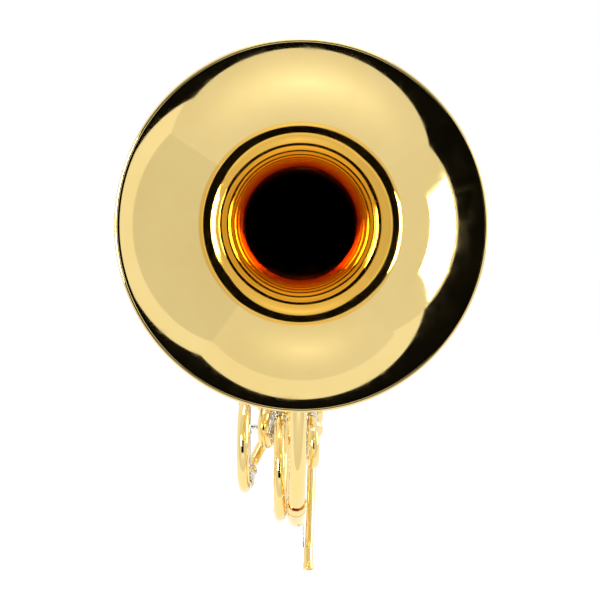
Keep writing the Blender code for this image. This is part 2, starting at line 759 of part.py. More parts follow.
class Slide:
    """A pair of outer sleeves and the crook whose legs run in them.

    start is the middle between the legs where the sleeves begin, yaw and pitch turn the legs from
    -Y towards +X and -Z, and reach runs from the start to the middle of the bow.
    """

    def __init__(self, name, start, yaw, pitch, spacing, sleeve, reach):
        self.name = name
        self.start = Vector(start)
        self.spacing = spacing
        self.sleeve = sleeve
        self.reach = reach
        yaw = math.radians(yaw)
        pitch = math.radians(pitch)
        self.heading = Vector((
            math.sin(yaw) * math.cos(pitch), -math.cos(yaw) * math.cos(pitch), -math.sin(pitch)))
        vertical = Vector((0.0, 0.0, 1.0))
        self.upward = (vertical - vertical.dot(self.heading) * self.heading).normalized()
        self.side = self.heading.cross(self.upward)

    def leg(self, upper):
        """Return where a leg's sleeve begins, and the way back from it towards the valve."""
        sign = 1 if upper else -1
        return self.start + self.upward * (sign * self.spacing / 2), self.heading

    def sleeves(self, feeders, valves, brace_at):
        """Return the outer sleeves with their brace and the tubes soldered to them, as one body."""
        parts = []
        bores = []
        for upper in (True, False):
            start, heading = self.leg(upper)
            back = start - heading * SLEEVE_SOCKET
            floor = start + heading * SLEEVE_FLOOR
            end = start + heading * self.sleeve
            past = end + heading * SLEEVE_FLOOR
            parts.append(rod(back, end, SLEEVE_RADIUS, None, TUBE_SIDES, self.side))
            bores.append(rod(floor, past, SLEEVE_BORE, None, TUBE_SIDES, self.side))
        parts.append(self.brace(brace_at))
        mesh = united(parts + feeders)
        for bore in bores:
            mesh = combined(mesh, bore)
        return trimmed(mesh, *valves)

    def brace(self, distance):
        """Return the bar that braces the two sleeves."""
        top, heading = self.leg(True)
        bottom, _ = self.leg(False)
        sunk = self.upward * (TUBE_RADIUS / 2)
        offset = heading * distance
        return rod(top + offset - sunk, bottom + offset + sunk, BRACE_RADIUS, sides=6, up=self.side)

    def crook(self):
        """Return the crook: a leg, its ferrule, the bow, and the same back again."""
        radius = self.spacing / 2
        centre = self.start + self.heading * (self.reach - radius)
        straight = self.reach - radius
        ferrule = self.sleeve + 2 * GAP
        far = ferrule + CROOK_FERRULE
        ends = [
            (LEG_START, TUBE_RADIUS), (ferrule, TUBE_RADIUS), (ferrule, FERRULE_RADIUS),
            (far, FERRULE_RADIUS), (far, TUBE_RADIUS),
        ]
        top, heading = self.leg(True)
        bottom, _ = self.leg(False)
        rings = [(top + heading * distance, size) for distance, size in ends if distance < straight]
        count = math.ceil(math.pi / ARC_STEP)
        for index in range(count + 1):
            turn = math.pi * index / count
            point = centre + radius * (math.cos(turn) * self.upward + math.sin(turn) * heading)
            rings.append((point, TUBE_RADIUS))
        rings += [
            (bottom + heading * distance, size)
            for distance, size in reversed(ends) if distance < straight
        ]
        return tube([point for point, _ in rings], [size for _, size in rings], up=self.side)


def from_coil(place_now):
    """Return the point at this X, distance behind the coil's axis and distance below it."""
    x, behind, below = place_now
    return Vector((x, COIL_CENTRE.y + behind, COIL_CENTRE.z - below))


def from_first_rotor(place_now):
    """Return the point at this X, distance behind the lowest rotor's axis and distance below it."""
    x, behind, below = place_now
    return Vector((x, STACK_Y + behind, VALVE_Z["1"] - below))


def slide_table():
    """Return every slide of the horn by name; the last two numbers are the sleeves' length and the reach."""
    start_y = STACK_Y - SLIDE_AHEAD
    main_upper_z = COIL_CENTRE.z + LEADPIPE_LOOP_RADIUS - LEADPIPE_DROP
    main_lower_z = CHANGE_VALVE_Z - PORT_OFFSET
    main_middle = (LEADPIPE_TOP_X, BELL_DEPTH - MAIN_SLIDE_AHEAD, (main_upper_z + main_lower_z) / 2)
    first_z = VALVE_Z["1"] - FIRST_SLIDE_DROP
    plain = 2 * PORT_OFFSET
    rows = [
        Slide("main_tuning", main_middle, 0, 0, main_upper_z - main_lower_z, 0.062, 0.102),
        Slide("f_tuning", from_coil(F_TUNING_PLACE), F_TUNING_YAW, 0, F_TUNING_SPACING, 0.056, 0.115),
        Slide("b_flat_tuning", from_coil(B_FLAT_TUNING_PLACE), 0, 0, B_FLAT_TUNING_SPACING, 0.044, 0.105),
        Slide("f_1", (F_LAYER_X, start_y, first_z), F_SLIDE_YAW, 11, 0.0375, 0.066, 0.110),
        Slide("b_flat_1", (FIRST_B_FLAT_X, start_y, first_z), FIRST_B_FLAT_YAW, 9, 0.036, 0.030, 0.062),
    ]
    for name, x, yaw, sleeve, reach in (
        ("f_2", F_LAYER_X, F_SLIDE_YAW, 0.028, 0.055),
        ("f_3", F_LAYER_X, F_SLIDE_YAW, 0.090, 0.148),
        ("b_flat_2", B_FLAT_SLIDE_X, B_FLAT_SLIDE_YAW, 0.020, 0.045),
        ("b_flat_3", B_FLAT_SLIDE_X, B_FLAT_SLIDE_YAW, 0.050, 0.090),
    ):
        rows.append(Slide(name, (x, start_y, VALVE_Z[name[-1]]), yaw, 0, plain, sleeve, reach))
    return {row.name: row for row in rows}


# Tubes round the valve stack

def main_return(slides):
    """Return the tube from the main slide's lower sleeve to the change valve."""
    point, heading = slides["main_tuning"].leg(False)
    inner, outer = knuckle_corners("change", F_LAYER_X, True, False)
    corners = [point, point - heading * MAIN_RETURN_LEAD, outer, inner]
    return tube(bend(corners, MAIN_RETURN_BEND), TUBE_RADIUS)


def f_return(slides):
    """Return the tube from the F tuning slide's upper sleeve up the lever side to the change valve."""
    point, heading = slides["f_tuning"].leg(True)
    inner, outer = knuckle_corners("change", B_LAYER_X, True, True)
    riser_y = COIL_CENTRE.y + F_RISER_BEHIND
    corners = [
        point,
        point - heading * F_RISER_SWING,
        Vector((F_RISER_X, riser_y + F_RISER_SWING, point.z + F_RISER_CLIMB)),
        Vector((F_RISER_X, riser_y, outer.z - F_RISER_DROP)),
        Vector((B_LAYER_X, outer.y - F_RISER_OVER, outer.z)),
        outer,
        inner,
    ]
    return tube(bend(corners, F_RISER_BENDS), TUBE_RADIUS)


def b_flat_riser(slides):
    """Return the tube from the B flat tuning slide, between the layers, to the change valve."""
    point, _ = slides["b_flat_tuning"].leg(True)
    inner, outer = knuckle_corners("change", B_LAYER_X, True, False)
    riser_y = COIL_CENTRE.y + B_FLAT_RISER_BEHIND
    low = Vector((B_FLAT_RISER_X, riser_y, point.z))
    high = Vector((B_FLAT_RISER_X, riser_y, outer.z))
    return tube(bend([point, low, high, outer, inner], B_FLAT_RISER_BENDS), TUBE_RADIUS)


def b_flat_outlet(slides):
    """Return the tube from the lowest rotor down to the B flat tuning slide's lower sleeve."""
    point, heading = slides["b_flat_tuning"].leg(False)
    point = point - heading * (SLEEVE_SOCKET + GAP)
    inner, outer = knuckle_corners("1", B_LAYER_X, False, False)
    turn_x, turn_behind = B_FLAT_OUTLET_TURN
    turn = Vector((turn_x, STACK_Y + turn_behind, point.z))
    corners = [inner, outer, from_first_rotor(B_FLAT_OUTLET_LOW), turn, point]
    return trimmed(tube(bend(corners, B_FLAT_OUTLET_BENDS), TUBE_RADIUS), "1")


def f_outlet(slides):
    """Return the crook from the lowest rotor, under the stack, to the F tuning slide's lower sleeve."""
    point, heading = slides["f_tuning"].leg(False)
    point = point - heading * (SLEEVE_SOCKET + GAP)
    inner, outer = knuckle_corners("1", F_LAYER_X, False, False)
    corners = [
        inner,
        outer,
        from_first_rotor(F_OUTLET_BULGE),
        from_first_rotor(F_OUTLET_CROSSING),
        from_first_rotor(F_OUTLET_FAR_SIDE),
        Vector((point.x, STACK_Y + F_OUTLET_TURN_Y, point.z)),
        point,
    ]
    return trimmed(tube(bend(corners, F_OUTLET_BENDS), TUBE_RADIUS), "1")


# Leadpipe

def leadpipe_path(slides):
    """Return the leadpipe's path from the receiver round the coil's inside, and its first direction."""
    start = from_coil((RECEIVER_X, RECEIVER_BEHIND, RECEIVER_DROP))
    centre = COIL_CENTRE
    flat = Vector((0.0, start.y, start.z))
    distance = (centre - flat).length
    aim = math.atan2(centre.z - flat.z, centre.y - flat.y)
    climb = aim - math.asin(LEADPIPE_LOOP_RADIUS / distance)
    heading = Vector((0.0, math.cos(climb), math.sin(climb)))
    straight = math.sqrt(distance ** 2 - LEADPIPE_LOOP_RADIUS ** 2)
    count = 4
    path = [start + heading * (straight * index / count) for index in range(count)]
    arc_count = 12
    first_turn = math.pi / 2 + (math.pi / 2 - climb)
    for index in range(arc_count):
        turn = first_turn * (1 - index / arc_count)
        path.append(centre + LEADPIPE_LOOP_RADIUS * Vector((0.0, math.sin(turn), math.cos(turn))))
    point, _ = slides["main_tuning"].leg(True)
    for index, place_now in enumerate(path):
        if index < count:
            place_now.x = start.x + (LEADPIPE_BACK_X - start.x) * index / count
        else:
            share = (index - count) / (arc_count - 1)
            blend = share * share * (3 - 2 * share)
            place_now.x = LEADPIPE_BACK_X + (LEADPIPE_TOP_X - LEADPIPE_BACK_X) * blend
    path.append(Vector((point.x, point.y + LEADPIPE_LEAD, point.z)))
    path.append(point)
    return path, heading


def leadpipe(slides):
    """Return the tapered leadpipe between the receiver and the main slide."""
    path, heading = leadpipe_path(slides)
    path[0] = path[0] + heading * (RECEIVER_LENGTH + GAP)
    path.insert(1, path[0] + heading * (3 * SETTLE))
    path[-1] = path[-1] + Vector((0.0, SLEEVE_SOCKET + GAP, 0.0))
    count = len(path) - 1
    radii = [LEADPIPE_RADIUS + (TUBE_RADIUS - LEADPIPE_RADIUS) * index / count for index in range(count + 1)]
    return tube(path, radii)


def receiver(slides):
    """Return the mouthpiece receiver with its end ring."""
    path, heading = leadpipe_path(slides)
    start = path[0]
    profile = [
        (0.0, RECEIVER_RING_RADIUS), (RECEIVER_RING_LENGTH, RECEIVER_RING_RADIUS),
        (RECEIVER_RING_LENGTH, RECEIVER_RADIUS), (RECEIVER_LENGTH, RECEIVER_RADIUS),
    ]
    return turned(start, start + heading, profile, RECEIVER_BORE, up=(1.0, 0.0, 0.0))


# Levers and strings

def hinge_tube(valve):
    """Return the two ends of a lever's hinge tube."""
    z = VALVE_Z[valve]
    return Vector((ROD_X, STACK_Y, z - HINGE_TUBE_BELOW)), Vector((ROD_X, STACK_Y, z + HINGE_TUBE_ABOVE))


def string_fork(valve):
    """Return the arm from the hinge tube and the bar whose posts hold the string."""
    z = VALVE_Z[valve] + STRING_BAR_OFFSET
    wall = ROD_RADIUS + PIN_PLAY + HINGE_TUBE_WALL / 2
    ends = [Vector((ROD_X + wall, STACK_Y, z)), Vector((STRING_X, STACK_Y, z))]
    arm = bar(ends, LEVER_BAR_WIDTH, STRING_BAR_THICKNESS, (0.0, 0.0, 1.0))
    half = STRING_BAR_LENGTH / 2
    ends = [Vector((STRING_X, STACK_Y - half, z)), Vector((STRING_X, STACK_Y + half, z))]
    rail = bar(ends, STRING_BAR_HEIGHT, STRING_BAR_THICKNESS, (0.0, 0.0, 1.0))
    parts = [arm, rail]
    for side in (-1, 1):
        middle = STACK_Y + side * (half - STRING_POST / 2)
        low = VALVE_Z[valve] + HUB_RADIUS
        parts.append(block(
            (STRING_X - STRING_POST / 2, middle - STRING_POST / 2, low),
            (STRING_X + STRING_POST / 2, middle + STRING_POST / 2, z)))
    return parts


def action_string(valve):
    """Return the string's run along the bar, past the hub."""
    half = STRING_BAR_LENGTH / 2 - STRING_POST - GAP
    z = VALVE_Z[valve] + HUB_RADIUS + STRING_RADIUS + GAP
    return rod((STRING_X, STACK_Y - half, z), (STRING_X, STACK_Y + half, z), STRING_RADIUS, sides=6)


def hinge_pipe(valve):
    """Return the lever's hinge tube as a solid bar; its hole is cut last."""
    low, high = hinge_tube(valve)
    return rod(low, high, HINGE_TUBE_RADIUS, sides=HINGE_SIDES, up=(1.0, 0.0, 0.0))


def bored_for_rod(mesh, valve):
    """Cut the hinge rod's hole through a lever."""
    low, high = hinge_tube(valve)
    past = Vector((0.0, 0.0, HINGE_TUBE_WALL))
    bore = rod(low - past, high + past, ROD_RADIUS + PIN_PLAY, sides=HINGE_SIDES, up=(1.0, 0.0, 0.0))
    return combined(mesh, bore)


def oval_width(width, share):
    """Return a touch piece's width at a share of its length: round, with blunt ends."""
    return width * max(PADDLE_END_SHARE, math.sqrt(1 - (1 - PADDLE_END_SHARE ** 2) * (2 * share - 1) ** 2))


def paddle(centre_z):
    """Return a finger paddle: a thin spoon with round ends, curved along its length."""
    count = 6
    path = []
    widths = []
    for index in range(count + 1):
        share = index / count
        x = ROD_X + PADDLE_STEP - PADDLE_LIFT * (2 * share - 1) ** 2
        path.append(Vector((x, STACK_Y + PADDLE_BEHIND + PADDLE_LENGTH * share, centre_z)))
        widths.append(oval_width(PADDLE_WIDTH, share))
    return bar(path, widths, LEVER_BAR_THICKNESS, (1.0, 0.0, 0.0))


def finger_lever(valve):
    """Return a finger lever: hinge tube, string arm, key arm and paddle."""
    z = VALVE_Z[valve] + SETTLE
    paddle_z = VALVE_Z["2"] + (VALVE_Z[valve] - VALVE_Z["2"]) * PADDLE_PITCH / VALVE_PITCH
    arm_x = ROD_X - HINGE_TUBE_RADIUS
    paddle_y = STACK_Y + PADDLE_BEHIND
    path = bend([
        Vector((arm_x, STACK_Y, z)),
        Vector((arm_x, STACK_Y + KEY_ARM_STEP, z)),
        Vector((arm_x, STACK_Y + KEY_ARM_REACH, paddle_z)),
        Vector((arm_x, paddle_y - KEY_ARM_STOP, paddle_z)),
        Vector((ROD_X, paddle_y + KEY_ARM_LAP, paddle_z)),
    ], KEY_ARM_BENDS)
    arm = bar(path, LEVER_BAR_WIDTH, LEVER_BAR_THICKNESS, (1.0, 0.0, 0.0))
    parts = [hinge_pipe(valve), arm, paddle(paddle_z)] + string_fork(valve)
    return bored_for_rod(united(parts), valve)


def thumb_lever():
    """Return the thumb lever, whose long rod runs behind the finger levers to the thumb's touch."""
    top = CHANGE_VALVE_Z + THUMB_ROD_RADIUS
    low = VALVE_Z["1"] - THUMB_TOUCH_DROP
    outer_x = ROD_X - ROD_RADIUS - HINGE_TUBE_WALL
    inner_x = ROD_X + THUMB_ROD_INSET
    touch_x = inner_x + THUMB_TOUCH_STEP
    rod_y = STACK_Y + THUMB_ROD_BEHIND
    path = bend([
        Vector((outer_x, STACK_Y, top)),
        Vector((outer_x, STACK_Y + KEY_ARM_STEP, top)),
        Vector((inner_x, rod_y, top)),
        Vector((inner_x, rod_y, low)),
        Vector((touch_x, rod_y + THUMB_ROD_LAP, low)),
    ], THUMB_ROD_BENDS)
    stem = tube(path, THUMB_ROD_RADIUS, up=(0.0, 0.0, 1.0))
    touch_path = []
    widths = []
    count = 5
    for index in range(count + 1):
        share = index / count
        y = rod_y + THUMB_TOUCH_START + THUMB_TOUCH_LENGTH * share
        touch_path.append(Vector((touch_x + THUMB_TOUCH_CURL * share ** 2, y, low)))
        widths.append(oval_width(THUMB_TOUCH_WIDTH, share))
    touch = bar(touch_path, widths, LEVER_BAR_THICKNESS, (1.0, 0.0, 0.0))
    parts = [hinge_pipe("change"), stem, touch] + string_fork("change")
    return bored_for_rod(united(parts), "change")


def spring_points(valve):
    """Return the points of the torsion spring below a lever's hinge tube."""
    top = VALVE_Z[valve] - HINGE_TUBE_BELOW - 2 * SPRING_WIRE - GAP
    points = []
    for index in range(SPRING_TURNS * SPRING_POINTS + 1):
        turn = 2 * math.pi * index / SPRING_POINTS
        points.append(Vector((
            ROD_X + SPRING_RADIUS * math.cos(turn), STACK_Y + SPRING_RADIUS * math.sin(turn),
            top - SPRING_PITCH * index / SPRING_POINTS)))
    first_tail = points[0] + Vector((0.0, -SPRING_TAIL, 0.0))
    last_tail = points[-1] + Vector((0.0, SPRING_TAIL, 0.0))
    return [first_tail] + points + [last_tail]


def least_gap(points):
    """Return the least gap between the wire's turns, measured on its points."""
    least = SPRING_PITCH
    for index, point in enumerate(points):
        for other in points[index + SPRING_POINTS // 2:]:
            least = min(least, (point - other).length - 2 * SPRING_WIRE)
    return least


def lever_spring(name, valve):
    """Make a lever's spring as a wire along its points."""
    points = spring_points(valve)
    print(f"{name}: least gap to itself {least_gap(points) * 1000:.2f} mm")
    curve = bpy.data.curves.new(name, "CURVE")
    curve.dimensions = "3D"
    curve.bevel_depth = SPRING_WIRE
    curve.bevel_resolution = 1
    curve.use_fill_caps = True
    spline = curve.splines.new("POLY")
    spline.points.add(len(points) - 1)
    for target, point in zip(spline.points, points):
        target.co = (*point, 1.0)
    curve.materials.append(finish("steel"))
    thing = bpy.data.objects.new(name, curve)
    bpy.context.scene.collection.objects.link(thing)


def post_levels(valve):
    """Return the heights of the hinge rod's posts on this casing: below the lowest, above two others."""
    below = VALVE_Z[valve] - CASING_RADIUS - POST_BELOW
    above = VALVE_Z[valve] + CASING_RADIUS + POST_ABOVE
    return {"1": [below], "3": [above], "change": [above]}.get(valve, [])


def hinge_rod():
    """Return the rod that all levers turn on, with a round head at each end."""
    low = post_levels("1")[0]
    high = post_levels("change")[0]
    length = high - low + 2 * POST_THICKNESS
    head = ROD_RADIUS + ROD_HEAD
    profile = [
        (0.0, head), (ROD_HEAD, head), (ROD_HEAD, ROD_RADIUS),
        (length - ROD_HEAD, ROD_RADIUS), (length - ROD_HEAD, head), (length, head),
    ]
    start = Vector((ROD_X, STACK_Y, low - POST_THICKNESS))
    return turned(start, start + Vector((0.0, 0.0, 1.0)), profile, up=(1.0, 0.0, 0.0))


def lever_post(valve, level):
    """Return one post: a bar across to the hinge rod, with a foot down to the casing's wall."""
    foot_right = STACK_LEFT + POST_FOOT
    ends = [Vector((ROD_X - POST_TIP, STACK_Y, level)), Vector((foot_right, STACK_Y, level))]
    web = bar(ends, POST_WIDTH, POST_THICKNESS, (0.0, 0.0, 1.0))
    inward = math.copysign(1.0, VALVE_Z[valve] - level)
    sunk = level + inward * (abs(VALVE_Z[valve] - level) - CASING_RADIUS + POST_SUNK)
    half = POST_WIDTH / 2 - POST_INSET
    foot = block((STACK_LEFT + POST_INSET, STACK_Y - half, min(sunk, level)),
                 (foot_right - POST_INSET, STACK_Y + half, max(sunk, level)))
    mesh = united([web, foot])
    reach = Vector((0.0, 0.0, POST_THICKNESS))
    middle = Vector((ROD_X, STACK_Y, level))
    return combined(mesh, rod(middle - reach, middle + reach, ROD_RADIUS + GAP, up=(1.0, 0.0, 0.0)))


# Small fittings of the body

def finger_hook():
    """Return the hook for the little finger, on a foot that sits on the tail."""
    turn = math.acos(HOOK_RISE / COIL_RADIUS)
    tail = coil_point(turn)
    surface = tail.x - tail_radius(turn / TAIL_TURN) - GAP
    thick, long, high = HOOK_FOOT
    centre = Vector((surface - thick - HOOK_RADIUS, tail.y, tail.z))
    path = []
    count = 10
    for index in range(count + 1):
        angle = -HOOK_TURN * index / count
        path.append(centre + HOOK_RADIUS * Vector((math.cos(angle), math.sin(angle), 0.0)))
    hook = bar(path, HOOK_THICKNESS, HOOK_WIDTH, (0.0, 0.0, 1.0))
    low = (surface - thick, tail.y - long / 2, tail.z - high / 2)
    foot = block(low, (surface, tail.y + long / 2, tail.z + high / 2))
    return united([foot, hook])


def leadpipe_guard(slides):
    """Return the leaf-shaped guard that joins the leadpipe to the tail where they cross."""
    path, heading = leadpipe_path(slides)
    start = path[0] + heading * (RECEIVER_LENGTH + GAP)
    length = GUARD_LENGTH
    count = 6
    side_x = start.x - LEADPIPE_RADIUS - GAP - GUARD_THICKNESS / 2
    leaf = []
    widths = []
    for index in range(count + 1):
        share = index / count
        point = start + heading * (length * share)
        leaf.append(Vector((side_x, point.y, point.z)))
        widths.append(GUARD_WIDTH * (GUARD_TIP + (1 - GUARD_TIP) * math.sin(math.pi * share)))
    return bar(leaf, widths, GUARD_THICKNESS, (1.0, 0.0, 0.0))


def build():
    """Make every sub-part of the horn."""
    for thing in list(bpy.data.objects):
        bpy.data.objects.remove(thing)
    slides = slide_table()
    place("bell", [bell()], "lacquered_brass")
    place("tail_ferrule", [tail_ferrule()], "lacquered_brass")
    place("first_branch", [first_branch()], "lacquered_brass")
    place("leadpipe", [leadpipe(slides)], "lacquered_brass")
    place("mouthpiece_receiver", [receiver(slides)], "lacquered_brass")
    place("leadpipe_guard", [leadpipe_guard(slides)], "nickel_silver")
    feeders = {
        "main_tuning": [main_return(slides)],
        "f_tuning": [f_return(slides)],
        "b_flat_tuning": [b_flat_riser(slides)],
    }
    for layer, x in (("f", F_LAYER_X), ("b_flat", B_LAYER_X)):
        for valve in ("1", "2", "3"):
            name = f"{layer}_{valve}"
            legs = [(upper, slides[name].leg(upper)) for upper in (True, False)]
            feeders[name] = [port_knuckle(valve, x, upper, leg) for upper, leg in legs]
    for slide in slides.values():
        tubes = feeders[slide.name]
        valves = [slide.name[-1]] if slide.name[-1] in VALVE_Z else ["change"]
        brace_at = FAR_BRACE_AT if slide.name == "b_flat_1" else BRACE_AT
        place(f"{slide.name}_sleeves", [slide.sleeves(tubes, valves, brace_at)], "nickel_silver")
        place(f"{slide.name}_slide", [slide.crook()], "lacquered_brass", slide.start)
    for valve in VALVE_Z:
        label = f"valve_{valve}" if valve != "change" else "change_valve"
        axis = valve_centre(valve)
        place(f"{label}_casing", [casing(valve)], "nickel_silver")
        place(f"{label}_rotor", [rotor(valve)], "lacquered_brass", axis)
        place(f"{label}_stop_arm", [stop_arm(valve)], "nickel_silver", axis)
        place(f"{label}_cap", [cap(valve)], "lacquered_brass")
        place(f"{label}_bearing_plate", [bearing_plate(valve)], "nickel_silver")
        lever = finger_lever(valve) if valve != "change" else thumb_lever()
        lever_name = f"finger_lever_{valve}" if valve != "change" else "thumb_lever"
        pivot = (ROD_X, STACK_Y, axis.z)
        place(lever_name, [lever], "lacquered_brass", pivot)
        place(f"{label}_string", [action_string(valve)], "cord", pivot)
        lever_spring(f"{label}_spring", valve)
    place("f_outlet_crook", [f_outlet(slides)], "lacquered_brass")
    place("b_flat_outlet_tube", [b_flat_outlet(slides)], "lacquered_brass")
    place("hinge_rod", [hinge_rod()], "steel")
    place("finger_hook", [finger_hook()], "lacquered_brass")


build()
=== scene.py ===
"""Dresses the double french horn: smooth tubing, valves, levers, finishes, stage, light and camera."""
from __future__ import annotations

import logging
import math
from collections.abc import Sequence
from dataclasses import dataclass, field
from enum import Enum

import bpy
from mathutils import Matrix, Vector


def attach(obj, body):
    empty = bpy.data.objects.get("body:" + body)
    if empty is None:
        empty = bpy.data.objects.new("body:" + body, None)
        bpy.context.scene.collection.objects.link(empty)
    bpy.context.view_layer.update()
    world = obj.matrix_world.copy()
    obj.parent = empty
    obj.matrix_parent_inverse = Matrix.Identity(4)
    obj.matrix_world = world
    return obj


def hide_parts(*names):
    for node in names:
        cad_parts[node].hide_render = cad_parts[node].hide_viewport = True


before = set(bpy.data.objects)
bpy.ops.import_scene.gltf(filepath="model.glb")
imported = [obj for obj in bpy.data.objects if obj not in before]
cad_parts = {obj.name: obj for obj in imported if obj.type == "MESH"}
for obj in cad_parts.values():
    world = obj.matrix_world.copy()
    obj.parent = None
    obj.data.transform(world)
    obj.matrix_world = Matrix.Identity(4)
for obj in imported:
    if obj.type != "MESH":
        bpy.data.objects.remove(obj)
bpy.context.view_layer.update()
LOG = logging.getLogger("horn")

# Sizes shared by the pieces, in metres
GAP = 0.0003
ARC_STEP = math.radians(6)
TINY = 1e-6
TUBE_SIDES = 32
COIL_RADIUS = 0.1615
BELL_DEPTH = 0.330
TAIL_TURN = math.radians(218)
TUBE_RADIUS = 0.0061
SLEEVE_BORE = 0.00645
SLEEVE_RADIUS = 0.00695
SLEEVE_SOCKET = 0.005
STACK_Y = 0.380
F_LAYER_X = 0.008
B_LAYER_X = -0.018
STACK_LEFT = -0.029
STACK_RIGHT = 0.019
CASING_RADIUS = 0.018
PORT_DEPTH = 0.014
KNUCKLE_BEND = 0.011
KNUCKLE_RADIAL = PORT_DEPTH + KNUCKLE_BEND * math.tan(math.radians(22.5)) + 0.003
PORT_OFFSET = KNUCKLE_RADIAL / math.sqrt(2)
COIL_CENTRE = Vector((0.0, BELL_DEPTH, -COIL_RADIUS))
VALVE_Z = {"change": -0.071, "3": -0.118, "2": -0.165, "1": -0.212}
LEAST_BEND = math.radians(1)
LEAST_STEP = 0.0001
SMOOTH_ANGLE = math.radians(40)
MERGE_DISTANCE = 5 * TINY
COIL_SWAY = 0.005

# Slide sleeves, their beads, braces and ferrules
SLEEVE_FLOOR = 0.003
SLEEVE_HOLE = 0.002
COLLAR_HEIGHT = 0.0005
COLLAR_LENGTH = 0.003
COLLAR_SLOPE = 0.0008
BEAD_HEIGHT = 0.0006
BEAD_LENGTH = 0.003
BEAD_SLOPE = 0.001
BRACE_SUNK = 0.0004
BRACE_FOOT = (0.0012, 0.0036)
BRACE_NECK = (0.0022, 0.0015)
BRACE_WAIST = (0.003, 0.0013)
BRACE_KNOB = (0.001, 0.0022)
LEG_START = 0.005
LEG_WALL = 0.0006
FERRULE_BEAD = 0.0012
FERRULE_BEAD_HEIGHT = 0.0003
FERRULE_LENGTH = 0.007
BOW_STEPS = 40

# Valve caps
CAP_LENGTH = 0.0065
CAP_PROUD = 0.0012
CAP_ROLL = 0.0012
CAP_RIM = 0.0026
CAP_DISH = 0.0034
CAP_DISH_DEPTH = 0.0016
CAP_BOSS = (0.006, 0.0035)
CAP_BOSS_DEPTH = 0.0006
CAP_SIDES = 64

# The leadpipe, the first branch and the tail's ring
RECEIVER_START = Vector((0.0093, 0.345, -0.3885))
RECEIVER_LENGTH = 0.024
RECEIVER_RADIUS = 0.0052
RECEIVER_BORES = (0.0040, 0.0036)
LEADPIPE_LOOP = 0.131
LEADPIPE_BACK_X = 0.0165
LEADPIPE_TOP_X = 0.027
LEADPIPE_THIN = 0.0046
BRANCH_LEAVES = math.radians(285)
BRANCH_TOP_Z = -0.062
BRANCH_THICK = 0.0085
RING_HALF = 0.007
RING_RADIUS = 0.0098
RING_BEAD = (0.0099, 0.0103, 0.0099)

# The stage
DARK_PLACE = (-0.17, -1.01, -0.0025)
DARK_SIZE = (1.074, 0.905)
PANELS = (
    ("panel_right", (0.62, -0.5, 0.22), 90.0, (1.36, 1.25), (0.78, 0.78)),
    ("panel_top", (-0.02, -0.5, 0.78), 0.0, (1.34, 1.2), (0.86, 1.15)),
    ("panel_low", (-0.02, -0.5, -0.455), 0.0, (1.34, 1.2), (0.86, 1.35)),
    ("panel_left", (-0.66, -0.42, 0.22), 90.0, (1.36, 1.1), (0.84, 0.84)),
)
FADE_REACH = 2.2
LAMP_AIM = Vector((0.0, 0.1, -0.05))
LAMPS = (
    ("softbox_left", (-0.50, -0.526, 0.032), (0.255, 0.37), 6.0),
    ("softbox_top", (0.1, 0.2, 1.3), (0.9, 0.9), 12.0),
    ("softbox_right", (1.3, 0.3, 0.2), (0.8, 0.8), 8.0),
)


class Finish(Enum):
    """The finishes of the horn, each with the name of its material."""

    BRASS = "lacquered_brass"
    NICKEL = "nickel_silver"
    STEEL = "steel"
    CORD = "cord"


class Stroke(Enum):
    """How a turned profile is closed."""

    OPEN = 0
    CLOSED = 1


# Shared shader effects

def group_socket(
    group: bpy.types.NodeTree, name: str, kind: str, outward: bool, value: float | None = None,
) -> None:
    """Add a named socket to a node group.

    Args:
        group: the node group.
        name: the socket's name.
        kind: the socket's type.
        outward: True for an output.
        value: the default of a number socket.
    """
    direction = "OUTPUT" if outward else "INPUT"
    socket = group.interface.new_socket(name=name, in_out=direction, socket_type=kind)
    if value is not None:
        socket.default_value = value


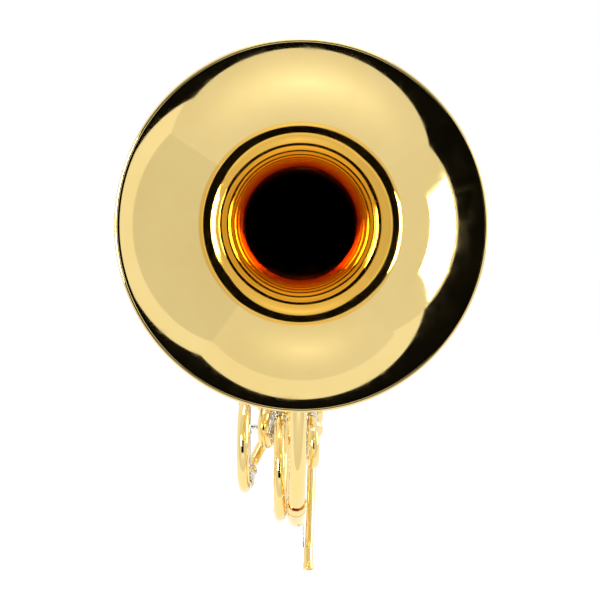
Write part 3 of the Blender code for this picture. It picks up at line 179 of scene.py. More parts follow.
def handled_metal() -> bpy.types.NodeTree:
    """Build the group for handled, polished metal.

    Returns:
        A group that turns two colours into a surface colour, a roughness and a height.
    """
    group = bpy.data.node_groups.new("handled_metal", "ShaderNodeTree")
    group_socket(group, "Clean", "NodeSocketColor", False)
    group_socket(group, "Toned", "NodeSocketColor", False)
    group_socket(group, "Polish", "NodeSocketFloat", False, 0.06)
    group_socket(group, "Haze", "NodeSocketFloat", False, 0.06)
    group_socket(group, "Color", "NodeSocketColor", True)
    group_socket(group, "Roughness", "NodeSocketFloat", True)
    group_socket(group, "Height", "NodeSocketFloat", True)
    nodes = group.nodes
    links = group.links
    entry = nodes.new("NodeGroupInput")
    leave = nodes.new("NodeGroupOutput")
    place = nodes.new("ShaderNodeTexCoord")
    clouds = nodes.new("ShaderNodeTexNoise")
    clouds.inputs["Scale"].default_value = 14.0
    clouds.inputs["Detail"].default_value = 4.0
    clouds.inputs["Roughness"].default_value = 0.6
    smears = nodes.new("ShaderNodeTexNoise")
    smears.inputs["Scale"].default_value = 60.0
    smears.inputs["Detail"].default_value = 6.0
    smears.inputs["Distortion"].default_value = 0.8
    ripples = nodes.new("ShaderNodeTexNoise")
    ripples.inputs["Scale"].default_value = 35.0
    ripples.inputs["Detail"].default_value = 1.0
    for texture in (clouds, smears, ripples):
        links.new(place.outputs["Object"], texture.inputs["Vector"])
    tone = nodes.new("ShaderNodeMapRange")
    tone.inputs["From Min"].default_value = 0.42
    tone.inputs["From Max"].default_value = 0.78
    links.new(clouds.outputs["Fac"], tone.inputs["Value"])
    mix = nodes.new("ShaderNodeMix")
    mix.data_type = "RGBA"
    links.new(tone.outputs["Result"], mix.inputs[0])
    links.new(entry.outputs["Clean"], mix.inputs[6])
    links.new(entry.outputs["Toned"], mix.inputs[7])
    links.new(mix.outputs[2], leave.inputs["Color"])
    patch = nodes.new("ShaderNodeMapRange")
    patch.inputs["From Min"].default_value = 0.45
    patch.inputs["From Max"].default_value = 0.80
    links.new(smears.outputs["Fac"], patch.inputs["Value"])
    share = nodes.new("ShaderNodeMath")
    share.operation = "MULTIPLY_ADD"
    links.new(patch.outputs["Result"], share.inputs[0])
    links.new(entry.outputs["Haze"], share.inputs[1])
    links.new(entry.outputs["Polish"], share.inputs[2])
    links.new(share.outputs[0], leave.inputs["Roughness"])
    links.new(ripples.outputs["Fac"], leave.inputs["Height"])
    return group


@dataclass(frozen=True)
class Metal:
    """A polished metal.

    Attributes:
        finish: the finish that it is.
        clean: its colour where it is bright.
        toned: its colour where it has toned.
        polish: its least roughness.
        haze: the roughness that smears add.
        coat: the weight of a clear lacquer.
        ripple: the height of its slight unevenness, in metres.
    """

    finish: Finish
    clean: tuple[float, float, float]
    toned: tuple[float, float, float]
    polish: float
    haze: float
    coat: float
    ripple: float

    def material(self, effect: bpy.types.NodeTree) -> bpy.types.Material:
        """Build the material.

        Args:
            effect: the group for handled metal.

        Returns:
            The finished material.
        """
        material = bpy.data.materials.new(f"{self.finish.value}_finish")
        material.use_nodes = True
        nodes = material.node_tree.nodes
        links = material.node_tree.links
        shader = nodes["Principled BSDF"]
        shader.inputs["Metallic"].default_value = 1.0
        shader.inputs["Coat Weight"].default_value = self.coat
        shader.inputs["Coat Roughness"].default_value = 0.03
        group = nodes.new("ShaderNodeGroup")
        group.node_tree = effect
        group.inputs["Clean"].default_value = (*self.clean, 1.0)
        group.inputs["Toned"].default_value = (*self.toned, 1.0)
        group.inputs["Polish"].default_value = self.polish
        group.inputs["Haze"].default_value = self.haze
        bump = nodes.new("ShaderNodeBump")
        bump.inputs["Strength"].default_value = 0.35
        bump.inputs["Distance"].default_value = self.ripple
        links.new(group.outputs["Color"], shader.inputs["Base Color"])
        links.new(group.outputs["Roughness"], shader.inputs["Roughness"])
        links.new(group.outputs["Height"], bump.inputs["Height"])
        links.new(bump.outputs["Normal"], shader.inputs["Normal"])
        return material


@dataclass(frozen=True)
class Fibre:
    """A dull braided cord.

    Attributes:
        finish: the finish that it is.
        light: its lighter colour.
        dark: its darker colour.
        grain: how many grains there are in a metre.
    """

    finish: Finish
    light: tuple[float, float, float]
    dark: tuple[float, float, float]
    grain: float

    def material(self) -> bpy.types.Material:
        """Build the material.

        Returns:
            The finished material.
        """
        material = bpy.data.materials.new(f"{self.finish.value}_finish")
        material.use_nodes = True
        nodes = material.node_tree.nodes
        links = material.node_tree.links
        shader = nodes["Principled BSDF"]
        shader.inputs["Roughness"].default_value = 0.85
        place = nodes.new("ShaderNodeTexCoord")
        cells = nodes.new("ShaderNodeTexVoronoi")
        cells.inputs["Scale"].default_value = self.grain
        ramp = nodes.new("ShaderNodeValToRGB")
        ramp.color_ramp.elements[0].color = (*self.dark, 1.0)
        ramp.color_ramp.elements[1].color = (*self.light, 1.0)
        bump = nodes.new("ShaderNodeBump")
        bump.inputs["Distance"].default_value = 0.0003
        links.new(place.outputs["Object"], cells.inputs["Vector"])
        links.new(cells.outputs["Distance"], ramp.inputs["Fac"])
        links.new(ramp.outputs["Color"], shader.inputs["Base Color"])
        links.new(cells.outputs["Distance"], bump.inputs["Height"])
        links.new(bump.outputs["Normal"], shader.inputs["Normal"])
        return material


METALS = (
    Metal(Finish.BRASS, (0.93, 0.71, 0.29), (0.88, 0.66, 0.24), 0.035, 0.05, 0.25, 0.00004),
    Metal(Finish.NICKEL, (0.72, 0.69, 0.62), (0.60, 0.57, 0.50), 0.09, 0.10, 0.0, 0.00004),
    Metal(Finish.STEEL, (0.62, 0.62, 0.64), (0.50, 0.50, 0.52), 0.22, 0.12, 0.0, 0.00002),
)
CORD = Fibre(Finish.CORD, (0.10, 0.10, 0.10), (0.02, 0.02, 0.02), 2600.0)


class Finishes:
    """Holds the material of each finish."""

    def __init__(self) -> None:
        """Build every material."""
        effect = handled_metal()
        self.materials = {metal.finish: metal.material(effect) for metal in METALS}
        self.materials[Finish.CORD] = CORD.material()

    def dress(self, piece: bpy.types.Object, finish: Finish) -> None:
        """Give a piece its finish.

        Args:
            piece: the mesh object.
            finish: the finish.
        """
        piece.data.materials.clear()
        piece.data.materials.append(self.materials[finish])


# Paths

def bend(corners: Sequence[Sequence[float]], radii: float | Sequence[float]) -> list[Vector]:
    """Lay a path through corners, with a round bend at each.

    Args:
        corners: the points, first to last.
        radii: one radius for every inner corner, or one each.

    Returns:
        The path's points.
    """
    points = [Vector(corner) for corner in corners]
    inner = len(points) - 2
    sizes = [radii] * inner if isinstance(radii, (int, float)) else list(radii)
    path = [points[0]]
    for before, corner, after, radius in zip(points, points[1:], points[2:], sizes):
        inward = (before - corner).normalized()
        outward = (after - corner).normalized()
        turn = math.pi - inward.angle(outward)
        if turn < LEAST_BEND:
            path.append(corner)
            continue
        axis = inward.cross(outward).normalized()
        centre = corner + (inward + outward).normalized() * (radius / math.cos(turn / 2))
        start = corner + inward * (radius * math.tan(turn / 2))
        count = max(3, math.ceil(turn / ARC_STEP))
        for index in range(count + 1):
            swing = Matrix.Rotation(-turn * index / count, 3, axis)
            path.append(centre + swing @ (start - centre))
    path.append(points[-1])
    return cleaned(path)


def cleaned(path: Sequence[Vector]) -> list[Vector]:
    """Drop points that repeat the one before.

    Args:
        path: the points.

    Returns:
        The points that are left.
    """
    kept = [path[0]]
    for point in path[1:]:
        if (point - kept[-1]).length > LEAST_STEP:
            kept.append(point)
    return kept


def coil_point(turn: float) -> Vector:
    """Return a point of the coil's centreline, turning from the top over the back.

    Args:
        turn: the turn from the top.

    Returns:
        The point.
    """
    sway = -COIL_SWAY * math.sin(turn / 2) ** 4
    return COIL_CENTRE + Vector((sway, COIL_RADIUS * math.sin(turn), COIL_RADIUS * math.cos(turn)))


def run_lengths(path: Sequence[Vector]) -> list[float]:
    """Return the distance along a path to each of its points.

    Args:
        path: the points.

    Returns:
        The distances.
    """
    lengths = [0.0]
    for before, after in zip(path, path[1:]):
        lengths.append(lengths[-1] + (after - before).length)
    return lengths


# Modelling

def lone_selection(piece: bpy.types.Object) -> None:
    """Select one object alone and make it active.

    Args:
        piece: the object.
    """
    bpy.ops.object.select_all(action="DESELECT")
    piece.select_set(True)
    bpy.context.view_layer.objects.active = piece


def settle(piece: bpy.types.Object, name: str) -> bpy.types.Object:
    """Name a piece, put its place into its mesh and apply its modifiers.

    Args:
        piece: the mesh object.
        name: its name.

    Returns:
        The same object.
    """
    piece.name = name
    piece.data.name = name
    lone_selection(piece)
    bpy.ops.object.transform_apply(location=True, rotation=True, scale=True)
    for modifier in list(piece.modifiers):
        bpy.ops.object.modifier_apply(modifier=modifier.name)
    return piece


def drawn_tube(
    name: str,
    path: Sequence[Vector],
    radii: float | Sequence[float],
    wall: float | None = None,
    sides: int = TUBE_SIDES,
) -> bpy.types.Object:
    """Draw a round tube along a path.

    Args:
        name: the piece's name.
        path: the centreline.
        radii: the outer radius, or one for each point.
        wall: the wall's thickness where the tube is open, or None where its ends are closed.
        sides: the number of sides of its section.

    Returns:
        The tube as a mesh object.
    """
    sizes = [radii] * len(path) if isinstance(radii, (int, float)) else list(radii)
    largest = max(sizes)
    bpy.ops.object.select_all(action="DESELECT")
    bpy.ops.curve.primitive_nurbs_path_add(location=(0.0, 0.0, 0.0))
    piece = bpy.context.object
    curve = piece.data
    curve.splines.clear()
    curve.bevel_depth = largest
    curve.bevel_resolution = (sides - 4) // 2
    curve.use_fill_caps = wall is None
    spline = curve.splines.new("POLY")
    spline.points.add(len(path) - 1)
    for target, point, size in zip(spline.points, path, sizes):
        target.co = (*point, 1.0)
        target.radius = size / largest
    lone_selection(piece)
    bpy.ops.object.convert(target="MESH")
    piece = bpy.context.object
    bpy.ops.object.mode_set(mode="EDIT")
    bpy.ops.mesh.select_all(action="SELECT")
    bpy.ops.mesh.remove_doubles(threshold=TINY)
    bpy.ops.mesh.normals_make_consistent(inside=False)
    bpy.ops.object.mode_set(mode="OBJECT")
    if wall is not None:
        shell = piece.modifiers.new("wall", "SOLIDIFY")
        shell.thickness = wall
        shell.offset = -1.0
    settle(piece, name)
    bpy.ops.object.shade_smooth_by_angle(angle=SMOOTH_ANGLE)
    return piece


def turned(
    name: str,
    start: Vector,
    heading: Vector,
    profile: Sequence[tuple[float, float]],
    stroke: Stroke = Stroke.OPEN,
    sides: int = 48,
    bevel: float = 0.00025,
) -> bpy.types.Object:
    """Turn a profile about an axis, as on a lathe.

    Args:
        name: the piece's name.
        start: a point on the axis.
        heading: the axis.
        profile: (distance along the axis, radius) pairs.
        stroke: CLOSED for a ring whose last point joins its first.
        sides: the number of steps round.
        bevel: the width of the rounding of its edges.

    Returns:
        The turned piece.
    """
    heading = heading.normalized()
    side = heading.orthogonal().normalized()
    points = [start + heading * along + side * max(radius, TINY) for along, radius in profile]
    if stroke is Stroke.CLOSED:
        points.append(points[0])
    bpy.ops.object.select_all(action="DESELECT")
    bpy.ops.mesh.primitive_plane_add(size=0.001, location=points[0])
    piece = bpy.context.object
    bpy.ops.object.transform_apply(location=True)
    bpy.ops.object.mode_set(mode="EDIT")
    bpy.ops.mesh.select_mode(type="VERT")
    bpy.ops.mesh.select_all(action="SELECT")
    bpy.ops.mesh.merge(type="CENTER")
    for before, after in zip(points, points[1:]):
        bpy.ops.mesh.extrude_region_move(TRANSFORM_OT_translate={"value": after - before})
    bpy.ops.mesh.select_all(action="SELECT")
    bpy.ops.mesh.spin(steps=sides, angle=2 * math.pi, center=start, axis=heading)
    bpy.ops.mesh.select_all(action="SELECT")
    bpy.ops.mesh.remove_doubles(threshold=MERGE_DISTANCE)
    bpy.ops.mesh.normals_make_consistent(inside=False)
    bpy.ops.object.mode_set(mode="OBJECT")
    if bevel > 0:
        rounding = piece.modifiers.new("rounding", "BEVEL")
        rounding.width = bevel
        rounding.segments = 3
        rounding.limit_method = "ANGLE"
        rounding.angle_limit = math.radians(35)
    settle(piece, name)
    bpy.ops.object.shade_smooth_by_angle(angle=SMOOTH_ANGLE)
    return piece


def refined(name: str, node: str, bevel: float) -> bpy.types.Object:
    """Copy a rigid node's shape and round its edges.

    Args:
        name: the piece's name.
        node: the CAD node.
        bevel: the width of the rounding.

    Returns:
        The refined piece.
    """
    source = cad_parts[node]
    piece = bpy.data.objects.new(name, source.data.copy())
    bpy.context.scene.collection.objects.link(piece)
    lone_selection(piece)
    bpy.ops.object.mode_set(mode="EDIT")
    bpy.ops.mesh.select_all(action="SELECT")
    bpy.ops.mesh.remove_doubles(threshold=MERGE_DISTANCE)
    bpy.ops.mesh.dissolve_limited(angle_limit=math.radians(1.5))
    bpy.ops.object.mode_set(mode="OBJECT")
    rounding = piece.modifiers.new("rounding", "BEVEL")
    rounding.width = bevel
    rounding.segments = 3
    rounding.limit_method = "ANGLE"
    rounding.angle_limit = math.radians(38)
    rounding.use_clamp_overlap = True
    settle(piece, name)
    bpy.ops.object.shade_smooth_by_angle(angle=math.radians(42))
    return piece


def joined(name: str, pieces: Sequence[bpy.types.Object]) -> bpy.types.Object:
    """Join pieces into one object.

    Args:
        name: the name of the whole.
        pieces: its pieces.

    Returns:
        The whole.
    """
    bpy.ops.object.select_all(action="DESELECT")
    for piece in pieces:
        piece.select_set(True)
    bpy.context.view_layer.objects.active = pieces[0]
    bpy.ops.object.join()
    whole = bpy.context.object
    whole.name = name
    whole.data.name = name
    return whole


class Workshop:
    """Finishes pieces and says what each rides on and stands for."""

    def __init__(self) -> None:
        """Build the finishes."""
        self.finishes = Finishes()

    def fit(
        self, piece: bpy.types.Object, finish: Finish, body: str, nodes: Sequence[str] = (),
    ) -> None:
        """Dress a piece, fasten it to its body and let it stand for its nodes.

        Args:
            piece: the piece.
            finish: its finish.
            body: the body that it rides on.
            nodes: the CAD nodes that it replaces.
        """
        self.finishes.dress(piece, finish)
        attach(piece, body)
        if nodes:
            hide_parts(*nodes)
        LOG.info("%s on %s, %d faces", piece.name, body, len(piece.data.polygons))

    def dress_node(self, node: str, finish: Finish) -> None:
        """Give a CAD node that stays its finish.

        Args:
            node: the node.
            finish: its finish.
        """
        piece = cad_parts[node]
        for slot in piece.material_slots:
            slot.material = self.finishes.materials[finish]
        if not piece.material_slots:
            piece.data.materials.append(self.finishes.materials[finish])


# Sub-assemblies

@dataclass
class Bell:
    """The bell: a spun flare with a rolled rim, its throat and its tapering tail.

    Attributes:
        rim_radius: the outer radius of the rim.
        bead_radius: the radius of the rim's roll.
        scale: the depth over which the flare opens.
        power: how fast the flare narrows.
        throat: the radius that the flare tends to.
        wall: the sheet's thickness.
        tail_end: the tail's outer radius at its end.
    """

    rim_radius: float = 0.155
    bead_radius: float = 0.0019
    scale: float = 0.060
    power: float = 1.3
    throat: float = 0.010
    wall: float = 0.0008
    tail_end: float = 0.0083

    def radius(self, depth: float) -> float:
        """Return the inner radius at a depth behind the rim."""
        edge = self.rim_radius - 1.5 * self.bead_radius
        return self.throat + (edge - self.throat) * (1 + depth / self.scale) ** -self.power

    def tail_radius(self, share: float) -> float:
        """Return the tail's outer radius at a share of its turn."""
        start = self.radius(BELL_DEPTH) + self.wall
        return self.tail_end + (start - self.tail_end) * (1 - share) ** 1.3

    def flare_profile(self) -> list[tuple[float, float]]:
        """Return the front face from throat to rim, the rolled bead and the back face again.

        Returns:
            (depth, radius) pairs.
        """
        count = 90
        depths = [BELL_DEPTH * (index / count) ** 2.0 for index in range(1, count + 1)]
        front = [(depth, self.radius(depth)) for depth in reversed(depths)]
        bead = []
        for step in range(19):
            turn = math.radians(-130 + 270 * step / 18)
            along = self.bead_radius * (1 + math.sin(turn))
            bead.append((along, self.rim_radius - self.bead_radius + self.bead_radius * math.cos(turn)))
        back = []
        for depth in depths[3:]:
            slope = (self.radius(depth + TINY) - self.radius(depth)) / TINY
            lean = math.hypot(1, slope)
            back.append((depth - slope / lean * self.wall, self.radius(depth) + self.wall / lean))
        back[-1] = (BELL_DEPTH, self.tail_radius(0.0))
        return front[:-2] + bead + back

    def build(self, shop: Workshop) -> None:
        """Model and dress the bell."""
        flare = turned("bell_flare", Vector(), Vector((0.0, 1.0, 0.0)), self.flare_profile(),
                       sides=192, bevel=0.0)
        count = 110
        last = TAIL_TURN - GAP / 2 / COIL_RADIUS
        turns = [last * index / count for index in range(count + 1)]
        path = [coil_point(turn) for turn in turns]
        radii = [self.tail_radius(turn / TAIL_TURN) for turn in turns]
        tail = drawn_tube("bell_tail", path, radii, self.wall, 48)
        shop.fit(joined("bell_shell", [flare, tail]), Finish.BRASS, "horn_body", ["bell"])
        half = RING_HALF / COIL_RADIUS
        seam = [coil_point(TAIL_TURN + half * share / 4) for share in range(-4, 5)]
        sleeve = drawn_tube("tail_ring", seam, RING_RADIUS, LEG_WALL, 40)
        rings = [
            drawn_tube("ring", [coil_point(TAIL_TURN + end * half * share) for share in (0.86, 0.93, 1.0)],
                       RING_BEAD, 0.0004, 40)
            for end in (-1, 1)
        ]
        shop.fit(joined("tail_ferrule_ring", [sleeve, *rings]), Finish.BRASS, "horn_body", ["tail_ferrule"])


@dataclass
class Slide:
    """A tuning or valve slide: two outer sleeves and a crook.

    Attributes:
        name: the slide's name.
        start: the middle between the legs where the sleeves begin.
        yaw: turn of the legs towards +X, in degrees.
        pitch: turn of the legs downwards, in degrees.
        spacing: the distance between the legs.
        sleeve: the sleeves' length.
        reach: the distance from the start to the middle of the bow.
        brace_at: the distance from the start to the brace.
    """

    name: str
    start: Vector
    yaw: float
    pitch: float
    spacing: float
    sleeve: float
    reach: float
    brace_at: float = 0.009
    heading: Vector = field(init=False)
    upward: Vector = field(init=False)

    def __post_init__(self) -> None:
        """Work out the slide's own directions."""
        yaw = math.radians(self.yaw)
        pitch = math.radians(self.pitch)
        self.heading = Vector((
            math.sin(yaw) * math.cos(pitch), -math.cos(yaw) * math.cos(pitch), -math.sin(pitch)))
        vertical = Vector((0.0, 0.0, 1.0))
        self.upward = (vertical - vertical.dot(self.heading) * self.heading).normalized()

    def leg(self, upper: bool) -> Vector:
        """Return where a leg's sleeve begins."""
        return self.start + self.upward * ((1 if upper else -1) * self.spacing / 2)

    def outer_tubes(self, shop: Workshop) -> None:
        """Model the sleeves with their beads and the flanged brace between them."""
        pieces = []
        end = self.sleeve
        collar = SLEEVE_RADIUS + COLLAR_HEIGHT
        bead = SLEEVE_RADIUS + BEAD_HEIGHT
        for upper in (True, False):
            profile = [
                (-SLEEVE_SOCKET, collar), (COLLAR_LENGTH - SLEEVE_SOCKET, collar),
                (COLLAR_LENGTH + COLLAR_SLOPE - SLEEVE_SOCKET, SLEEVE_RADIUS),
                (end - BEAD_LENGTH - BEAD_SLOPE, SLEEVE_RADIUS), (end - BEAD_LENGTH, bead), (end, bead),
                (end, SLEEVE_BORE), (SLEEVE_FLOOR, SLEEVE_BORE), (SLEEVE_FLOOR, SLEEVE_HOLE),
                (-SLEEVE_SOCKET, SLEEVE_HOLE),
            ]
            pieces.append(turned("sleeve", self.leg(upper), self.heading, profile, Stroke.CLOSED, 40))
        top = self.leg(True) + self.heading * self.brace_at
        sunk = SLEEVE_RADIUS - BRACE_SUNK
        foot, foot_radius = BRACE_FOOT
        neck, neck_radius = BRACE_NECK
        waist, waist_radius = BRACE_WAIST
        knob, knob_radius = BRACE_KNOB
        middle = self.spacing / 2
        far = self.spacing - sunk
        profile = [
            (sunk, 0.0), (sunk, foot_radius), (sunk + foot, foot_radius), (sunk + neck, neck_radius),
            (middle - waist, waist_radius), (middle - knob, knob_radius),
            (middle + knob, knob_radius), (middle + waist, waist_radius),
            (far - neck, neck_radius), (far - foot, foot_radius), (far, foot_radius), (far, 0.0),
        ]
        pieces.append(turned("brace", top, -self.upward, profile, sides=24))
        shop.fit(joined(f"{self.name}_outer_tubes", pieces), Finish.NICKEL, "horn_body",
                 [f"{self.name}_sleeves"])

    def crook(self, shop: Workshop) -> None:
        """Model the crook with its ferrules and inner legs."""
        radius = self.spacing / 2
        centre = self.start + self.heading * (self.reach - radius)
        ferrule = self.sleeve + 2 * GAP
        top = self.leg(True)
        bottom = self.leg(False)
        path = [top + self.heading * ferrule]
        for index in range(BOW_STEPS + 1):
            turn = math.pi * index / BOW_STEPS
            swing = math.cos(turn) * self.upward + math.sin(turn) * self.heading
            path.append(centre + radius * swing)
        path.append(bottom + self.heading * ferrule)
        bow = drawn_tube("bow", cleaned(path), TUBE_RADIUS)
        body = f"{self.name}_slide"
        shop.fit(joined(f"{self.name}_bow", [bow]), Finish.BRASS, body, [body])
        inner = TUBE_RADIUS - LEG_WALL
        bright = []
        for start in (top, bottom):
            leg = [
                (LEG_START, inner), (LEG_START, TUBE_RADIUS), (ferrule, TUBE_RADIUS), (ferrule, SLEEVE_RADIUS),
                (ferrule + FERRULE_BEAD, SLEEVE_RADIUS + FERRULE_BEAD_HEIGHT),
                (ferrule + 2 * FERRULE_BEAD, SLEEVE_RADIUS), (ferrule + FERRULE_LENGTH, SLEEVE_RADIUS),
                (ferrule + FERRULE_LENGTH, inner),
            ]
            bright.append(turned("leg", start, self.heading, leg, Stroke.CLOSED, 40))
        shop.fit(joined(f"{self.name}_legs", bright), Finish.NICKEL, body)


def slide_table() -> dict[str, Slide]:
    """Return every slide of the horn by name."""
    start_y = STACK_Y - 0.032
    upper_z = -0.036
    lower_z = VALVE_Z["change"] - PORT_OFFSET
    middle_z = (upper_z + lower_z) / 2
    low_z = VALVE_Z["1"] - 0.003
    plain = 2 * PORT_OFFSET
    rows = [
        Slide("main_tuning", Vector((0.027, 0.322, middle_z)), 0, 0, upper_z - lower_z, 0.062, 0.102),
        Slide("f_tuning", Vector((-0.0554, 0.345, -0.2345)), -1.5, 0, 0.0895, 0.056, 0.115),
        Slide("b_flat_tuning", Vector((-0.021, 0.335, -0.2612)), 0, 0, 0.097, 0.044, 0.105),
        Slide("f_1", Vector((F_LAYER_X, start_y, low_z)), 3, 11, 0.0375, 0.066, 0.110),
        Slide("f_2", Vector((F_LAYER_X, start_y, VALVE_Z["2"])), 3, 0, plain, 0.028, 0.055),
        Slide("f_3", Vector((F_LAYER_X, start_y, VALVE_Z["3"])), 3, 0, plain, 0.090, 0.148),
        Slide("b_flat_1", Vector((-0.0285, start_y, low_z)), -10, 9, 0.036, 0.030, 0.062, 0.021),
        Slide("b_flat_2", Vector((-0.025, start_y, VALVE_Z["2"])), -5, 0, plain, 0.020, 0.045),
        Slide("b_flat_3", Vector((-0.025, start_y, VALVE_Z["3"])), -5, 0, plain, 0.050, 0.090),
    ]
    return {row.name: row for row in rows}


def port(valve: str, x: float, front: bool, upper: bool) -> tuple[Vector, Vector]:
    """Return a port's inner end and the corner where its tube turns.

    Args:
        valve: the valve.
        x: the layer's X.
        front: True for a port towards the bell.
        upper: True for a port above the axis.

    Returns:
        The inner end and the corner.
    """
    way = Vector((0.0, -1.0 if front else 1.0, 1.0 if upper else -1.0)).normalized()
    centre = Vector((x, STACK_Y, VALVE_Z[valve]))
    return centre + way * (CASING_RADIUS - 0.0008), centre + way * KNUCKLE_RADIAL


@dataclass
class Plumbing:
    """The fixed tubes: branch, leadpipe, knuckles, links and the tubes round the stack.

    Attributes:
        slides: the slides by name.
    """

    slides: dict[str, Slide]

    def knuckles(self, shop: Workshop) -> None:
        """Model each valve slide's two knuckles, with a ring where they leave the casing."""
        for layer, x in (("f", F_LAYER_X), ("b_flat", B_LAYER_X)):
            for valve in ("1", "2", "3"):
                slide = self.slides[f"{layer}_{valve}"]
                pieces = []
                for upper in (True, False):
                    inner, outer = port(valve, x, True, upper)
                    end = slide.leg(upper)
                    back = end - slide.heading * SLEEVE_SOCKET
                    path = bend([inner, outer, back, end - slide.heading * 0.001], KNUCKLE_BEND)
                    pieces.append(drawn_tube("knuckle", path, TUBE_RADIUS))
                    pieces.append(self.port_ring(inner, outer))
                shop.fit(joined(f"{slide.name}_knuckles", pieces), Finish.BRASS, "horn_body")

    @staticmethod
    def port_ring(inner: Vector, outer: Vector) -> bpy.types.Object:
        """Turn the soldered ring where a tube meets a casing.

        Args:
            inner: the tube's end at the casing.
            outer: the next corner of the tube.

        Returns:
            The ring.
        """
        profile = [
            (0.0002, TUBE_RADIUS - 0.0004), (0.0002, TUBE_RADIUS + 0.0011), (0.0018, TUBE_RADIUS + 0.0009),
            (0.0030, TUBE_RADIUS + 0.0001), (0.0030, TUBE_RADIUS - 0.0004),
        ]
        return turned("port_ring", inner, outer - inner, profile, Stroke.CLOSED, 32)

    def feeding_tubes(self, shop: Workshop) -> None:
        """Model the tubes that lead to and from the tuning slides."""
        main = self.slides["main_tuning"]
        tuning = self.slides["f_tuning"]
        flat = self.slides["b_flat_tuning"]
        start = main.leg(False)
        inner, outer = port("change", F_LAYER_X, True, False)
        path = bend([start, start - main.heading * 0.008, outer, inner], [0.010, 0.010])
        self.feeder("main_return", path, inner, outer, shop)
        start = tuning.leg(True)
        inner, outer = port("change", B_LAYER_X, True, True)
        corners = [
            start, start - tuning.heading * 0.012, Vector((-0.053, 0.3495, start.z + 0.030)),
            Vector((-0.053, 0.3375, outer.z - 0.004)), Vector((B_LAYER_X, outer.y - 0.018, outer.z)), outer, inner,
        ]
        self.feeder("f_return", bend(corners, [0.010, 0.012, 0.014, 0.012, KNUCKLE_BEND]), inner, outer, shop)
        start = flat.leg(True)
        inner, outer = port("change", B_LAYER_X, True, False)
        low = Vector((-0.0095, 0.333, start.z))
        high = Vector((-0.0095, 0.333, outer.z))
        path = bend([start, low, high, outer, inner], [0.008, 0.012, 0.010])
        self.feeder("b_flat_riser", path, inner, outer, shop)
        end = flat.leg(False) - flat.heading * (SLEEVE_SOCKET + GAP)
        inner, outer = port("1", B_LAYER_X, False, False)
        corners = [inner, outer, Vector((-0.020, 0.389, -0.270)), Vector((-0.021, 0.368, end.z)), end]
        self.feeder("b_flat_outlet", bend(corners, [0.010, 0.014, 0.014]), inner, outer, shop,
                    ["b_flat_outlet_tube"])
        end = tuning.leg(False) - tuning.heading * (SLEEVE_SOCKET + GAP)
        inner, outer = port("1", F_LAYER_X, False, False)
        corners = [
            inner, outer, Vector((0.024, 0.402, -0.244)), Vector((0.010, 0.408, -0.2545)),
            Vector((-0.042, 0.408, -0.258)), Vector((end.x, 0.375, end.z)), end,
        ]
        self.feeder("f_outlet", bend(corners, [0.009, 0.008, 0.009, 0.014, 0.014]), inner, outer, shop,
                    ["f_outlet_crook"])

    def feeder(
        self, name: str, path: list[Vector], inner: Vector, outer: Vector, shop: Workshop,
        nodes: Sequence[str] = (),
    ) -> None:
        """Model one such tube with its port ring.

        Args:
            name: the tube's name.
            path: its centreline.
            inner: its end at the casing.
            outer: the corner next to that end.
            shop: the workshop.
            nodes: the nodes that it replaces.
        """
        pieces = [drawn_tube(name, path, TUBE_RADIUS), self.port_ring(inner, outer)]
        shop.fit(joined(f"{name}_pipe", pieces), Finish.BRASS, "horn_body", nodes)

    def first_branch(self, shop: Workshop) -> None:
        """Model the conical tube from the seam to the change valve."""
        leaves = BRANCH_LEAVES
        start = TAIL_TURN + GAP / 2 / COIL_RADIUS
        count = 24
        arc = [coil_point(start + (leaves - start) * index / count) for index in range(count)]
        leave = coil_point(leaves)
        heading = Vector((0.0, math.cos(leaves), -math.sin(leaves)))
        reach = (BRANCH_TOP_Z - leave.z) / heading.z
        corner = leave + heading * reach
        inner, outer = port("change", F_LAYER_X, True, True)
        meet = Vector((F_LAYER_X, STACK_Y - 0.042, outer.z))
        over = Vector((leave.x, meet.y - 0.060, BRANCH_TOP_Z))
        radii = [reach / math.tan(math.asin(heading.z) / 2), 0.05, 0.03, KNUCKLE_BEND]
        path = cleaned(arc + bend([leave, corner, over, meet, outer, inner], radii))
        lengths = run_lengths(path)
        sizes = [BRANCH_THICK + (TUBE_RADIUS - BRANCH_THICK) * along / lengths[-1] for along in lengths]
        pieces = [drawn_tube("branch", path, sizes, None, 40), self.port_ring(inner, outer)]
        shop.fit(joined("first_branch_pipe", pieces), Finish.BRASS, "horn_body", ["first_branch"])

